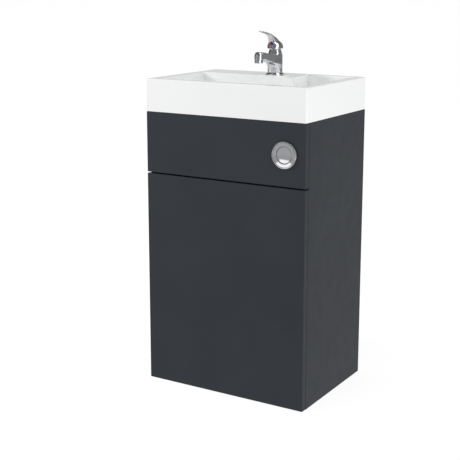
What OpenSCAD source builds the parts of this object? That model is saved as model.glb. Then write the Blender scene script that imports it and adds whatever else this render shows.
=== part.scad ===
// Toilet and basin combination unit: a slim cabinet that carries a full-width basin with a mixer tap,
// and hides a cistern worked by a round two-part push button in its upper front panel.
// Millimetres. X to the right, Y to the back (wall), Z up. Origin: middle of the footprint, on the floor.

/* [Cabinet] */
// Overall width
unit_w = 500; // [480:5:560]
// Overall depth, face of the front panels to the wall
unit_d = 360; // [355:5:400]
// Height of the cabinet, floor to the underside of the basin
cab_h = 784; // [784:1:800]
// Thickness of the carcass boards
board_t = 18; // [16:1:18]
// Thickness of the two front panels
front_t = 19; // [18:0.5:20]
// Gap between the front panels and the carcass behind them
front_gap = 1.5; // [1:0.5:2]
// Height of the middle of the shadow gap between the two front panels
gap_z = 611.5; // [608:0.5:615]
// Height of that shadow gap
gap_h = 4; // [3:0.5:5]

/* [Basin] */
// Height of the basin
basin_h = 91; // [88:1:95]
// Depth of the bowl below the rim
bowl_depth = 72; // [60:1:74]
// Width of the side rims
rim_side = 24; // [22:1:28]
// Width of the front rim
rim_front = 25; // [22:1:30]
// Width of the back rim
rim_back = 20; // [16:1:24]
// Depth of the tap ledge, wall to bowl
ledge_d = 104; // [95:1:110]
// Where the tap ledge ends on the right, from the middle of the unit
ledge_end = 76; // [60:1:90]

/* [Tap] */
// Tap axis, left or right of the middle of the unit
tap_x = -10; // [-12:1:0]
// Tap axis, distance from the wall
tap_back = 58; // [55:1:64]
// Reach of the spout, tap axis to middle of the outlet
spout_reach = 94; // [90:1:110]
// Radius of the tap body
tap_r = 21.3; // [21:0.1:22]

/* [Flush button] */
// Button axis, from the middle of the unit
button_x = 189; // [170:1:189]
// Button axis, height above the floor
button_z = 698; // [690:1:705]
// How far the button stands out of the front panel
button_out = 7.5; // [7.5:0.5:9]

/* [Hidden] */
$fn = 48;
e = 0.01;

hw = unit_w / 2;
yb = (unit_d + button_out) / 2;          // wall plane
yf = yb - unit_d;                        // face of the front panels
ys = yf + front_t + front_gap;           // front edge of the carcass
xi = hw - board_t;                       // inner face of a side panel
top = cab_h + basin_h;                   // rim of the basin
bf = top - bowl_depth;                   // floor of the bowl
ty = yb - tap_back;                      // tap axis
wx = 0;                                  // waste axis
wy = yf + 146.25;
cy = yb - 85;                            // middle of the cistern, front to back
tank_z0 = 360;
tank_h = 280;
tank_w = 360;
tank_d = 130;
tank_y0 = yb - board_t - 2 - tank_d;
lift_z = top + 63;                       // height of the lever's pivot

charcoal = [0.235, 0.25, 0.27];
inner = [0.30, 0.31, 0.33];
white = [0.95, 0.95, 0.94];
chrome = [0.78, 0.79, 0.80];
plastic = [0.90, 0.90, 0.88];
rubber = [0.12, 0.12, 0.12];
steel = [0.66, 0.67, 0.69];
brass = [0.72, 0.58, 0.30];

// ---- outlines -------------------------------------------------------------------------------------

// Points of a rectangle with rounded corners, lower left corner at x0, y0
function round_rect(x0, y0, x1, y1, r, n = 6) = concat(
    [for (i = [0 : n]) [x1 - r + r * cos(i * 90 / n), y1 - r + r * sin(i * 90 / n)]],
    [for (i = [0 : n]) [x0 + r - r * sin(i * 90 / n), y1 - r + r * cos(i * 90 / n)]],
    [for (i = [0 : n]) [x0 + r - r * cos(i * 90 / n), y0 + r - r * sin(i * 90 / n)]],
    [for (i = [0 : n]) [x1 - r + r * sin(i * 90 / n), y0 + r - r * cos(i * 90 / n)]]);

// Points of the bowl's outline: a rectangle whose back left part is cut away by the tap ledge
function bowl_points(r = 4, s = 3, n = 4) =
    let (x0 = -hw + rim_side, x1 = hw - rim_side, y0 = yf + rim_front, y1 = yb - rim_back, yl = yb - ledge_d)
    concat(
        [for (i = [0 : n]) [x1 - r + r * cos(i * 90 / n), y1 - r + r * sin(i * 90 / n)]],
        [for (i = [0 : n]) [ledge_end + r - r * sin(i * 90 / n), y1 - r + r * cos(i * 90 / n)]],
        [for (i = [0 : n]) [ledge_end - s + s * cos(i * 90 / n), yl + s - s * sin(i * 90 / n)]],
        [for (i = [0 : n]) [x0 + r - r * sin(i * 90 / n), yl - r + r * cos(i * 90 / n)]],
        [for (i = [0 : n]) [x0 + r - r * cos(i * 90 / n), y0 + r - r * sin(i * 90 / n)]],
        [for (i = [0 : n]) [x1 - r + r * sin(i * 90 / n), y0 + r - r * cos(i * 90 / n)]]);

// ---- round pieces ---------------------------------------------------------------------------------

module tube(r_out, r_in, z0, z1) {
    translate([0, 0, z0]) difference() {
        cylinder(r = r_out, h = z1 - z0);
        translate([0, 0, -1]) cylinder(r = r_in, h = z1 - z0 + 2);
    }
}
// A cylinder along +Y from y0 to y1
module rod_y(x, z, r, y0, y1) {
    translate([x, y0, z]) rotate([-90, 0, 0]) cylinder(r = r, h = y1 - y0);
}
// A cylinder along +X from x0 to x1
module rod_x(y, z, r, x0, x1) {
    translate([x0, y, z]) rotate([0, 90, 0]) cylinder(r = r, h = x1 - x0);
}
module hex_nut(r, r_in, z0, z1) {
    translate([0, 0, z0]) difference() {
        cylinder(r = r, h = z1 - z0, $fn = 6);
        translate([0, 0, -1]) cylinder(r = r_in, h = z1 - z0 + 2);
    }
}
// A hand nut with gripping ribs
module grip_nut(r, r_in, z0, z1, ribs = 12) {
    translate([0, 0, z0]) difference() {
        union() {
            cylinder(r = r - 1.5, h = z1 - z0);
            for (i = [0 : ribs - 1]) rotate([0, 0, i * 360 / ribs])
                translate([r - 4, -2, 1]) cube([4, 4, z1 - z0 - 2]);
        }
        translate([0, 0, -1]) cylinder(r = r_in, h = z1 - z0 + 2);
    }
}

// ---- swept tubes ----------------------------------------------------------------------------------

function unit(v) = v / norm(v);
function lerp(a, b, t) = a + (b - a) * t;
// A smooth route through hand-chosen points: straight runs joined by curved corners
function corner(p, i, k, m) = let (
    a = p[i - 1], b = p[i], c = p[i + 1],
    q0 = b + unit(a - b) * k, q1 = b + unit(c - b) * k)
    [for (j = [0 : m]) let (t = j / m) lerp(lerp(q0, b, t), lerp(b, q1, t), t)];
function route(p, k, m = 5) = concat([p[0]],
    [for (i = [1 : len(p) - 2]) each corner(p, i, k, m)], [p[len(p) - 1]]);
function tangent(p, i) = i == 0 ? unit(p[1] - p[0])
    : i == len(p) - 1 ? unit(p[i] - p[i - 1]) : unit(unit(p[i + 1] - p[i]) + unit(p[i] - p[i - 1]));
// Side vectors carried along the route without twist
function carry(p, i, u) = i == len(p) ? [] :
    let (t = tangent(p, i), w = unit(u - t * (u * t))) concat([w], carry(p, i + 1, w));
module sweep_tube(p, r, start_side, sides = 8) {
    n = len(p);
    u = carry(p, 0, start_side);
    pts = [for (i = [0 : n - 1]) let (t = tangent(p, i), v = cross(t, u[i]))
        for (j = [0 : sides - 1]) p[i] + r * (cos(j * 360 / sides) * u[i] + sin(j * 360 / sides) * v)];
    faces = concat(
        [[for (j = [0 : sides - 1]) j]],
        [for (i = [0 : n - 2]) for (j = [0 : sides - 1]) let (k = (j + 1) % sides)
            each [[i * sides + j, (i + 1) * sides + j, (i + 1) * sides + k],
                  [i * sides + j, (i + 1) * sides + k, i * sides + k]]],
        [[for (j = [sides - 1 : -1 : 0]) (n - 1) * sides + j]]);
    polyhedron(points = pts, faces = faces, convexity = 6);
}
// A compression spring along Z
module coil_spring(r, wire, z0, z1, turns) {
    steps = turns * 14;
    p = [for (i = [0 : steps]) [r * cos(i * 360 / 14), r * sin(i * 360 / 14), z0 + wire + (z1 - z0 - 2 * wire) * i / steps]];
    sweep_tube(p, wire, [1, 0, 0], 6);
}
// A hollow pipe with one quarter bend: straight up from the bend, and along -Y after it
module bent_pipe(r, r_in, z_top, z_low, y_end, br) {
    tube(r, r_in, z_low + br, z_top);
    translate([0, -br, z_low + br]) rotate([0, 90, 0])
        rotate_extrude(angle = 90) translate([br, 0]) difference() { circle(r = r); circle(r = r_in); }
    translate([0, -br, z_low]) rotate([90, 0, 0]) tube(r, r_in, 0, -br - y_end);
}

// ---- carcass --------------------------------------------------------------------------------------

// Rails: [y0, z0, depth along Y, height along Z, flat (1) or upright (0)]
RAILS = [
    [ys, cab_h - board_t, 80, board_t, 1],
    [yb - board_t, 704, board_t, cab_h - 704, 0],
    [ys, gap_z - board_t / 2, 60, board_t, 1],
    [yb - board_t, 560, board_t, 80, 0],
    [ys, 0, board_t, 80, 0],
    [yb - board_t, 0, board_t, 70, 0]
];
function dowel_spots(r) = r[4] == 1
    ? [[r[0] + 14, r[1] + board_t / 2], [r[0] + r[2] - 14, r[1] + board_t / 2]]
    : [[r[0] + board_t / 2, r[1] + 14], [r[0] + board_t / 2, r[1] + r[3] - 14]];
// Fixing blocks behind the upper front panel, lower edge of each
BLOCK_Z = [636, 745];
function cam_spot(r) = [r[0] + r[2] / 2, r[1] + r[3] / 2];
function cam_axis(r) = r[4] == 1 ? [r[0] + r[2] / 2, r[1] + 9] : [r[0] + 9, r[1] + r[3] / 2];

module side_panel(s) {
    difference() {
        translate([s > 0 ? xi : -hw, ys, 0]) cube([board_t, yb - ys, cab_h]);
        for (r = RAILS) {
            for (d = dowel_spots(r)) rod_x(d[0], d[1], 4.1, s > 0 ? xi - 1 : -xi - 10.5, s > 0 ? xi + 10.5 : -xi + 1);
            rod_x(cam_axis(r)[0], cam_axis(r)[1], 3.5, s > 0 ? xi - 1 : -xi - 11.5, s > 0 ? xi + 11.5 : -xi + 1);
        }
        // pilot holes of the fixing blocks and of the floor bracket
        for (z = BLOCK_Z) rod_x(yf + front_t + 18, z + 5, 2, s > 0 ? xi - 1 : -xi - 13, s > 0 ? xi + 13 : -xi + 1);
        rod_x(60, 24, 2, s > 0 ? xi - 1 : -xi - 13, s > 0 ? xi + 13 : -xi + 1);
    }
}
module rail(i) {
    r = RAILS[i];
    difference() {
        translate([-xi, r[0], r[1]]) cube([2 * xi, r[2], r[3]]);
        for (s = [-1, 1]) {
            for (d = dowel_spots(r)) rod_x(d[0], d[1], 4.1, s > 0 ? xi - 20.5 : -xi - 1, s > 0 ? xi + 1 : -xi + 20.5);
            rod_x(cam_axis(r)[0], cam_axis(r)[1], 3.5, s > 0 ? xi - 34 : -xi - 1, s > 0 ? xi + 1 : -xi + 34);
            // pocket of the cam nut, open on the hidden face
            if (r[4] == 1) translate([s * (xi - 34), cam_spot(r)[0], r[1] - 1]) cylinder(r = 7.6, h = 14.6);
            else translate([s * (xi - 34), r[0] - 1, cam_spot(r)[1]]) rotate([-90, 0, 0]) cylinder(r = 7.6, h = 14.6);
        }
        if (i == 1) for (s = [-1, 1]) rod_y(s * 150, 744, 4, yb - board_t - 1, yb + 1);
        if (i == 3) for (s = [-1, 1]) rod_y(s * 120, 615, 2, yb - board_t - 1, yb - 4);
    }
}
module side_panel_left() { color(charcoal) side_panel(-1); }
module side_panel_right() { color(charcoal) side_panel(1); }
module top_front_rail() { color(inner) rail(0); }
module top_back_rail() { color(inner) rail(1); }
module mid_front_rail() { color(inner) rail(2); }
module cistern_rail() { color(inner) rail(3); }
module bottom_front_rail() { color(inner) rail(4); }
module bottom_back_rail() { color(inner) rail(5); }
module rail_dowels() {
    color([0.80, 0.66, 0.45]) for (r = RAILS) for (s = [-1, 1]) for (d = dowel_spots(r))
        rod_x(d[0], d[1], 4, s > 0 ? xi - 20 : -xi - 10, s > 0 ? xi + 10 : -xi + 20);
}
// Round nut with a driver slot, and a side hole in which it grips the end of its bolt
module cam_nut(s) {
    difference() {
        cylinder(r = 7.5, h = 13);
        translate([-4.5, -0.8, -1]) cube([9, 1.6, 4]);
        translate([s > 0 ? -5 : -9, 0, 8.5]) rotate([0, 90, 0]) cylinder(r = 3.6, h = 14);
    }
}
module rail_cam_fasteners() {
    color(steel) for (r = RAILS) for (s = [-1, 1]) {
        if (r[4] == 1) translate([s * (xi - 34), cam_spot(r)[0], r[1] + 0.5]) cam_nut(s);
        else translate([s * (xi - 34), r[0] + 0.5, cam_spot(r)[1]]) rotate([-90, 0, 0]) cam_nut(s);
        rod_x(cam_axis(r)[0], cam_axis(r)[1], 3.4, s > 0 ? xi - 38 : -xi - 11, s > 0 ? xi + 11 : -xi + 38);
    }
}

// ---- front panels ---------------------------------------------------------------------------------

module upper_front_panel() {
    z0 = gap_z + gap_h / 2;
    color(charcoal) difference() {
        translate([-hw, yf, z0]) cube([unit_w, front_t, cab_h - 0.6 - z0]);
        rod_y(button_x, button_z, 34.6, yf - 1, yf + front_t + 1);
        for (s = [-1, 1]) for (z = BLOCK_Z) rod_y(s * (xi - 8), z + 10, 2, yf + 8, yf + front_t + 1);
    }
}
module front_fixing_blocks() {
    color(plastic) for (s = [-1, 1]) for (z = BLOCK_Z)
        difference() {
            translate([s > 0 ? xi - 20 : -xi, yf + front_t, z]) cube([20, 26, 20]);
            rod_y(s * (xi - 8), z + 10, 2.1, yf + front_t - 1, yf + front_t + 27);
            rod_x(yf + front_t + 18, z + 5, 2.1, s > 0 ? xi - 21 : -xi - 1, s > 0 ? xi + 1 : -xi + 21);
        }
}
module screw_y(x, z, y_head, len, dir) {
    // head at y_head, shank towards dir
    translate([x, y_head, z]) rotate([dir > 0 ? -90 : 90, 0, 0]) screw(len);
}
module screw(len) {
    difference() {
        union() { cylinder(r = 4, h = 2.4); cylinder(r = 1.9, h = len); }
        for (a = [0, 90]) rotate([0, 0, a]) translate([-2.4, -0.45, -1]) cube([4.8, 0.9, 2.4]);
    }
}
// Cross-head screws: panel and sides onto the fixing blocks, cistern onto its rail, floor brackets to the sides
module fixing_screws() {
    color(steel) {
        for (s = [-1, 1]) for (z = BLOCK_Z) {
            screw_y(s * (xi - 8), z + 10, yf + front_t + 28.4, 37.4, -1);
            translate([s * (xi - 22.4), yf + front_t + 18, z + 5]) rotate([0, s * 90, 0]) screw(34.4);
        }
        for (s = [-1, 1]) screw_y(s * 120, 615, tank_y0 + tank_d - 6.4, 18, 1);
        for (s = [-1, 1]) translate([s * (xi - 4.4), 60, 24]) rotate([0, s * 90, 0]) screw(16.4);
    }
}
module lower_front_panel() {
    color(charcoal) translate([-hw, yf, 1]) cube([unit_w, front_t, gap_z - gap_h / 2 - 1]);
}
CATCH = [[-1, 110], [1, 110], [-1, 540], [1, 540]];
module panel_catch_studs() {
    color(steel) for (c = CATCH) {
        x = c[0] * (xi - 14);
        difference() {
            union() {
                rod_y(x, c[1], 9, yf + front_t, yf + front_t + 3);
                rod_y(x, c[1], 3.2, yf + front_t + 2, yf + front_t + 16);
            }
            rod_y(x, c[1], 0.9, yf + front_t + 10, yf + front_t + 17);
        }
        rod_y(x, c[1], 4.8, yf + front_t + 16, yf + front_t + 21);
    }
}
module panel_catch_sockets() {
    color(plastic) for (c = CATCH) difference() {
        translate([c[0] > 0 ? xi - 26 : -xi, yf + front_t + 5, c[1] - 12]) cube([26, 24, 24]);
        rod_y(c[0] * (xi - 14), c[1], 5.1, yf + front_t + 4, yf + front_t + 26);
    }
}
module floor_brackets() {
    color(steel) for (s = [-1, 1]) difference() {
        union() {
            translate([s > 0 ? xi - 2 : -xi, 45, 0]) cube([2, 30, 34]);
            translate([s > 0 ? xi - 34 : -xi, 45, 0]) cube([34, 30, 2]);
        }
        translate([s * (xi - 20), 60, -1]) cylinder(r = 2.75, h = 4);
        rod_x(60, 24, 2.1, s > 0 ? xi - 3 : -xi - 1, s > 0 ? xi + 1 : -xi + 3);
    }
}

// ---- basin ----------------------------------------------------------------------------------------

module basin() {
    color(white) difference() {
        translate([0, 0, cab_h]) linear_extrude(basin_h) polygon(round_rect(-hw, yf, hw, yb, 3, 3));
        // bowl
        translate([0, 0, bf]) linear_extrude(bowl_depth + 1) polygon(bowl_points());
        // shallow recess under the bowl floor
        translate([0, 0, cab_h - 1]) linear_extrude(bf - 10 - cab_h + 1)
            polygon(round_rect(-hw + 12, yf + 12, hw - 12, yb - 12, 8, 3));
        // hollow under the tap ledge
        translate([0, 0, cab_h - 1]) linear_extrude(basin_h - 10 + 1)
            polygon(round_rect(-hw + 12, yb - ledge_d + 10, ledge_end - 10, yb - 12, 8, 3));
        translate([wx, wy, cab_h]) cylinder(r = 22.5, h = 40);
        translate([tap_x, ty, top - 20]) cylinder(r = 17.5, h = 30);
    }
}
module waste_flange() {
    color(chrome) translate([wx, wy, 0]) {
        tube(32, 21, bf, bf + 2.6);
        tube(21.2, 17.6, bf - 74, bf + 2.6);
        // guide for the plug's stem, held by three ribs
        tube(6.5, 4.1, bf - 26, bf - 12);
        for (a = [0, 120, 240]) rotate([0, 0, a]) translate([6, -1, bf - 26]) cube([12, 2, 10]);
    }
}
module waste_plug() {
    color(chrome) translate([wx, wy, 0]) {
        // cap rests on the flange
        translate([0, 0, bf + 2.6]) cylinder(r = 26, h = 3);
        translate([0, 0, bf + 5.6 - e]) cylinder(r1 = 26, r2 = 18, h = 1.6);
        translate([0, 0, bf - 34]) cylinder(r = 4, h = 37);
    }
}
module waste_seal() { color(rubber) translate([wx, wy, 0]) tube(31, 21.3, bf - 14, bf - 10); }
module waste_backnut() { color(chrome) translate([wx, wy, 0]) hex_nut(32, 21.3, bf - 24, bf - 14); }

TRAP_OUT = 680;
module trap_body() {
    color(plastic) translate([wx, wy, 0]) {
        difference() {
            union() {
                translate([0, 0, 664]) cylinder(r = 27, h = 60);
                translate([0, 0, 724 - e]) cylinder(r = 24, h = 14);
                translate([0, 20, TRAP_OUT]) rotate([-90, 0, 0]) cylinder(r = 19, h = 30);
            }
            difference() {
                translate([0, 0, 663]) cylinder(r = 24, h = 57);
                translate([0, 0, 660]) cylinder(r = 17, h = 70);
            }
            translate([0, 0, 655]) cylinder(r = 15, h = 70);
            translate([0, 0, 722]) cylinder(r = 21.4, h = 20);
            // clear of the cup's rim
            translate([0, 0, 640]) cylinder(r = 30, h = 24);
            translate([0, 18, TRAP_OUT]) rotate([-90, 0, 0]) cylinder(r = 14, h = 40);
            translate([0, 38, TRAP_OUT]) rotate([-90, 0, 0]) cylinder(r = 16.2, h = 20);
        }
        // dip tube below the head
        tube(17, 15, 622, 664.5);
    }
}
module trap_cup() {
    color(plastic) translate([wx, wy, 0]) difference() {
        union() {
            translate([0, 0, 604]) cylinder(r = 27, h = 60);
            for (i = [0 : 11]) rotate([0, 0, i * 30]) translate([25, -2, 646]) cube([4.5, 4, 16]);
        }
        translate([0, 0, 607]) cylinder(r = 24, h = 60);
    }
}
module trap_nuts() {
    color(plastic) {
        translate([wx, wy, 0]) grip_nut(31, 24.2, 726, 740.5);
        translate([wx, wy + 36, TRAP_OUT]) rotate([-90, 0, 0]) grip_nut(26, 19.2, 0, 13.8);
    }
}
module trap_outlet_pipe() {
    color(plastic) translate([wx, 0, TRAP_OUT]) rotate([-90, 0, 0]) difference() {
        tube(16, 14, wy + 40, yb - 4);
        // mark that sets off the free spigot
        tube(17, 15.5, yb - 58, yb - 55);
    }
}

// ---- tap ------------------------------------------------------------------------------------------

module tap_base_ring() { color(chrome) translate([tap_x, ty, 0]) tube(27.5, 16, top, top + 4.5); }
module tap_body() {
    color(chrome) translate([tap_x, ty, 0]) difference() {
        union() {
            translate([0, 0, top + 4.5]) cylinder(r = tap_r, h = 52.5);
            // spout
            hull() {
                translate([0, -14, top + 35]) cylinder(r = 14, h = 21, $fn = 32);
                translate([0, -spout_reach + 2, top + 49]) cylinder(r = 13, h = 20, $fn = 32);
            }
            translate([0, -spout_reach, top + 47]) cylinder(r = 13, h = 12);
        }
        // room for the handle's skirt, and under the nose for the aerator ring
        translate([0, 0, top + 57]) cylinder(r = 22.4, h = 20);
        translate([0, -spout_reach, top + 30]) cylinder(r = 12.3, h = 17);
        // seat of the cartridge
        translate([0, 0, top + 25]) cylinder(r = 17.6, h = 40);
        // stud hole and water ways from below
        translate([0, -9, top]) cylinder(r = 4.1, h = 18);
        for (s = [-1, 1]) translate([s * 8, 5, top]) cylinder(r = 5.1, h = 14);
        for (s = [-1, 1]) translate([s * 8, 5, top + 13]) cylinder(r = 3, h = 14);
        // outlet
        translate([0, -spout_reach, top + 40]) cylinder(r = 10.5, h = 16);
        translate([0, -spout_reach, top + 51]) rotate([-90, 0, 0]) cylinder(r = 3.2, h = spout_reach - 10);
    }
}
module tap_cartridge() {
    color([0.85, 0.85, 0.83]) translate([tap_x, ty, 0]) difference() {
        union() {
            translate([0, 0, top + 25.2]) cylinder(r = 17.5, h = 29.8);
            translate([0, 0, top + 54]) cylinder(r = 14, h = 4);
        }
        translate([0, 0, top + 52]) cylinder(r = 10.2, h = 10);
    }
}
module tap_dome_nut() {
    color(chrome) translate([tap_x, ty, 0]) difference() {
        union() {
            translate([0, 0, top + 57]) cylinder(r = 20.4, h = 6);
            translate([0, 0, lift_z]) sphere(r = 20.4);
        }
        translate([0, 0, top]) cylinder(r = 30, h = 57);
        translate([0, 0, top + 56]) cylinder(r = 14.2, h = 40);
        translate([0, 0, top + 75.5]) cylinder(r = 30, h = 20);
    }
}
module tap_carrier() {
    color(plastic) translate([tap_x, ty, 0]) difference() {
        translate([0, 0, top + 52.2]) cylinder(r = 10, h = 16.8);
        translate([-4.2, -12, top + 55]) cube([8.4, 24, 20]);
        translate([-12, 0, lift_z]) rotate([0, 90, 0]) cylinder(r = 2.05, h = 24);
    }
}
module tap_pivot_pin() { color(steel) translate([tap_x - 9, ty, lift_z]) rotate([0, 90, 0]) cylinder(r = 2, h = 18); }
module tap_stem() {
    color(brass) translate([tap_x, ty, 0]) difference() {
        translate([-4, -4, lift_z - 5]) cube([8, 8, 27]);
        translate([-12, 0, lift_z]) rotate([0, 90, 0]) cylinder(r = 2.06, h = 24);
    }
}
// Lever outline in the tap's middle plane: [reach, height above the deck, half width, half thickness]
LEVER = [
    [6, 101, 14.5, 7], [24, 110.5, 13.5, 4.6], [38, 117.4, 12, 2.3], [60, 123.4, 9.5, 1.8], [87, 128.3, 5.8, 1.6]
];
module lever_section(p) {
    translate([0, -p[0], top + p[1]]) scale(p[3] / 2) sphere(r = 2, $fn = 16);
    for (s = [-1, 1]) translate([s * (p[2] - p[3]), -p[0], top + p[1]]) sphere(r = p[3], $fn = 12);
}
module tap_handle() {
    color(chrome) translate([tap_x, ty, 0]) difference() {
        union() {
            difference() {
                union() {
                    hull() {
                        translate([0, 0, top + 74]) cylinder(r = 22.4, h = 8);
                        translate([0, 0, top + 86]) cylinder(r = 21, h = 1, $fn = 32);
                        translate([0, 0, top + 94]) cylinder(r = 14.7, h = 1, $fn = 32);
                        translate([0, -3, top + 104]) cylinder(r = 5, h = 1, $fn = 16);
                    }
                    // neck under the lever
                    hull() {
                        translate([0, 0, top + 80]) cylinder(r = 14, h = 1, $fn = 32);
                        translate([0, -9.4, top + 80]) cylinder(r = 13, h = 24, $fn = 32);
                    }
                    for (i = [0 : 3]) hull() {
                        lever_section(LEVER[i]);
                        lever_section(LEVER[i + 1]);
                    }
                }
                // hollow over the dome nut, centred on the pivot
                translate([0, 0, lift_z]) sphere(r = 20.9);
                translate([0, 0, top + 50]) cylinder(r = 20.9, h = lift_z - top - 50);
            }
            // boss that holds the stem and the index screw
            translate([-7, -20, top + 76]) cube([14, 26, 9]);
        }
        // socket of the stem
        translate([-4.1, -4.1, lift_z]) cube([8.2, 8.2, 22.2]);
        // pocket of the index cap and hole of the index screw
        translate([0, -30, top + 89]) rotate([-90, 0, 0]) cylinder(r = 5.1, h = 11.3);
        translate([0, -30, top + 79.5]) rotate([-90, 0, 0]) cylinder(r = 2.1, h = 26);
    }
}
module tap_index_cap() {
    color([0.8, 0.1, 0.15]) translate([tap_x, ty, top + 89]) rotate([90, 0, 0])
        translate([0, 0, 18.8]) cylinder(r = 5, h = 2.6);
}
module tap_index_screw() {
    color(steel) translate([tap_x, ty, top + 79.5]) rotate([90, 0, 0]) translate([0, 0, 4.1]) difference() {
        cylinder(r = 2, h = 14);
        translate([0, 0, 11]) cylinder(r = 1.1, h = 4, $fn = 6);
    }
}
module aerator_ring() { color(chrome) translate([tap_x, ty - spout_reach, 0]) tube(12, 10, top + 37.5, top + 46.9); }
module aerator_insert() {
    color(plastic) translate([tap_x, ty - spout_reach, 0]) difference() {
        translate([0, 0, top + 39]) cylinder(r = 9.9, h = 8);
        for (x = [-6 : 3 : 6]) for (y = [-6 : 3 : 6]) if (x * x + y * y < 60)
            translate([x, y, top + 38]) cube([1.8, 1.8, 3], center = true);
    }
}
module tap_stud() { color(brass) translate([tap_x, ty - 9, top - 45]) cylinder(r = 4, h = 60); }
module tap_horseshoe_washer() {
    color(steel) translate([tap_x, ty, 0]) difference() {
        translate([0, 0, top - 12.5]) cylinder(r = 24, h = 2.5);
        translate([0, -9, top - 20]) cylinder(r = 4.3, h = 20);
        translate([-15, 0, top - 20]) cube([30, 30, 20]);
    }
}
module tap_stud_nut() { color(brass) translate([tap_x, ty - 9, 0]) hex_nut(7.5, 4.1, top - 22.5, top - 12.5); }
TAIL_END = [-207, 207];
module tap_tails() {
    for (i = [0, 1]) {
        s = i == 0 ? -1 : 1;
        x1 = TAIL_END[i];
        color(brass) translate([tap_x + s * 8, ty + 5, top - 24]) cylinder(r = 5, h = 37);
        color(steel) sweep_tube(route([[tap_x + s * 8, ty + 5, top - 24], [tap_x + s * 8, ty + 5, 790],
            [tap_x + s * 34, yb - board_t - 20, 768], [x1 - s * 30, yb - board_t - 13, 766], [x1, yb - board_t - 13, 750],
            [x1, yb - board_t - 13, 716.05]], 12), 4.6, [1, 0, 0], 10);
        color(brass) translate([x1, yb - board_t - 13, 0]) difference() {
            translate([0, 0, 690]) cylinder(r = 12, h = 26, $fn = 6);
            translate([0, 0, 689]) cylinder(r = 7.6, h = 16);
        }
    }
}
module tail_clips() {
    color(plastic) for (i = [0, 1]) translate([TAIL_END[i], yb - board_t - 13, 720]) difference() {
        union() {
            cylinder(r = 7.5, h = 12);
            translate([-6, 3, 0]) cube([12, 10, 12]);
        }
        translate([0, 0, -1]) cylinder(r = 4.9, h = 14);
        translate([-3.4, -12, -1]) cube([6.8, 12, 14]);
    }
}

// ---- flush button, axis along Y; local z points out of the front panel -----------------------------

module at_button() { translate([button_x, yf, button_z]) rotate([90, 0, 0]) children(); }
module flush_bezel() {
    color(chrome) at_button() rotate_extrude() polygon([
        [33.3, -6], [33.3, 5.4], [33.9, 6.0], [35.2, 6.0], [36.1, 5.2], [36.5, 4.0], [36.5, 0],
        [34.3, 0], [34.3, -8], [29, -8], [29, -45], [26.5, -45], [26.5, -6]]);
}
module flush_backnut() { color(plastic) at_button() grip_nut(42, 29.2, -front_t - 10, -front_t, 16); }
module full_flush_ring() {
    color(chrome) at_button() rotate_extrude() polygon([
        [22.9, -30], [22.9, 5.4], [23.6, 6.9], [25, button_out], [28.5, button_out - 0.3], [31.6, 6.2],
        [33.0, 4.8], [33.0, 2.2], [26.3, 2.2], [26.3, -30]]);
}
module half_flush_button() {
    color(chrome) at_button() rotate_extrude() polygon([
        [0, 0.6], [0, 3.6], [8, 3.9], [16, 4.9], [20.6, 6.1], [21.8, 5.7], [22, 5.0], [22, 2.4], [22.8, 2.4], [22.8, -25],
        [20.6, -25], [20.6, -0.6], [19.6, 0.6]]);
}
module full_flush_spring() { color(steel) at_button() coil_spring(24.6, 0.7, -40, -30, 2.5); }
module half_flush_spring() { color(steel) at_button() coil_spring(8.5, 0.7, -40, 0.6, 6); }
module air_pump_body() {
    color(plastic) at_button() difference() {
        union() {
            translate([0, 0, -63]) cylinder(r = 29, h = 18);
            translate([0, 0, -45.5]) cylinder(r = 26.4, h = 5.5);
            for (x = [-9, 9]) translate([x, 0, -76]) cylinder(r = 2.4, h = 14);
        }
        for (x = [-9, 9]) translate([x, 0, -77]) cylinder(r = 1.2, h = 16);
    }
}
// Air hoses, each held on a barb at both ends
HOSE_X = [40, 54];
module air_hoses() {
    color([0.75, 0.78, 0.80]) for (i = [0, 1]) {
        x0 = button_x + (i == 0 ? -9 : 9);
        x1 = HOSE_X[i];
        z1 = i == 0 ? 700 : 716;
        difference() {
            sweep_tube(route([[x0, yf + 68, button_z], [x0, yf + 120, button_z], [x0, cy, z1 + 6], [x1 + 34, cy, z1], [x1, cy, z1 - 24], [x1, cy, 654]], 15),
                3.6, [0, 0, 1], 8);
            rod_y(x0, button_z, 2.5, yf + 67, yf + 77);
            translate([x1, cy, 653]) cylinder(r = 2.5, h = 8);
        }
    }
}

// ---- concealed cistern ----------------------------------------------------------------------------

module cistern_tank() {
    x = tank_w / 2;
    y0 = tank_y0;
    y1 = tank_y0 + tank_d;
    color(plastic) difference() {
        translate([0, 0, tank_z0]) linear_extrude(tank_h) polygon(round_rect(-x, y0, x, y1, 8, 4));
        translate([0, 0, tank_z0 + 4]) linear_extrude(tank_h) polygon(round_rect(-x + 4, y0 + 4, x - 4, y1 - 4, 4, 4));
        translate([0, cy, tank_z0 - 1]) cylinder(r = 29, h = 8);
        translate([-120, cy, tank_z0 - 1]) cylinder(r = 10.7, h = 8);
        for (s = [-1, 1]) rod_y(s * 120, 615, 2.2, y1 - 6, y1 + 1);
    }
}
module cistern_lid() {
    x = tank_w / 2;
    y0 = tank_y0;
    y1 = tank_y0 + tank_d;
    z = tank_z0 + tank_h;
    color(plastic) difference() {
        union() {
            translate([0, 0, z]) linear_extrude(4) polygon(round_rect(-x - 3, y0 - 3, x + 3, y1, 9, 4));
            translate([0, 0, z - 6]) linear_extrude(6.5) polygon(round_rect(-x + 5, y0 + 5, x - 5, y1 - 5, 3, 4));
        }
        translate([0, 0, z - 7]) linear_extrude(7.2) polygon(round_rect(-x + 8, y0 + 8, x - 8, y1 - 8, 2, 4));
        for (x = HOSE_X) translate([x, cy, z - 1]) cylinder(r = 4.5, h = 8);
    }
}
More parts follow.
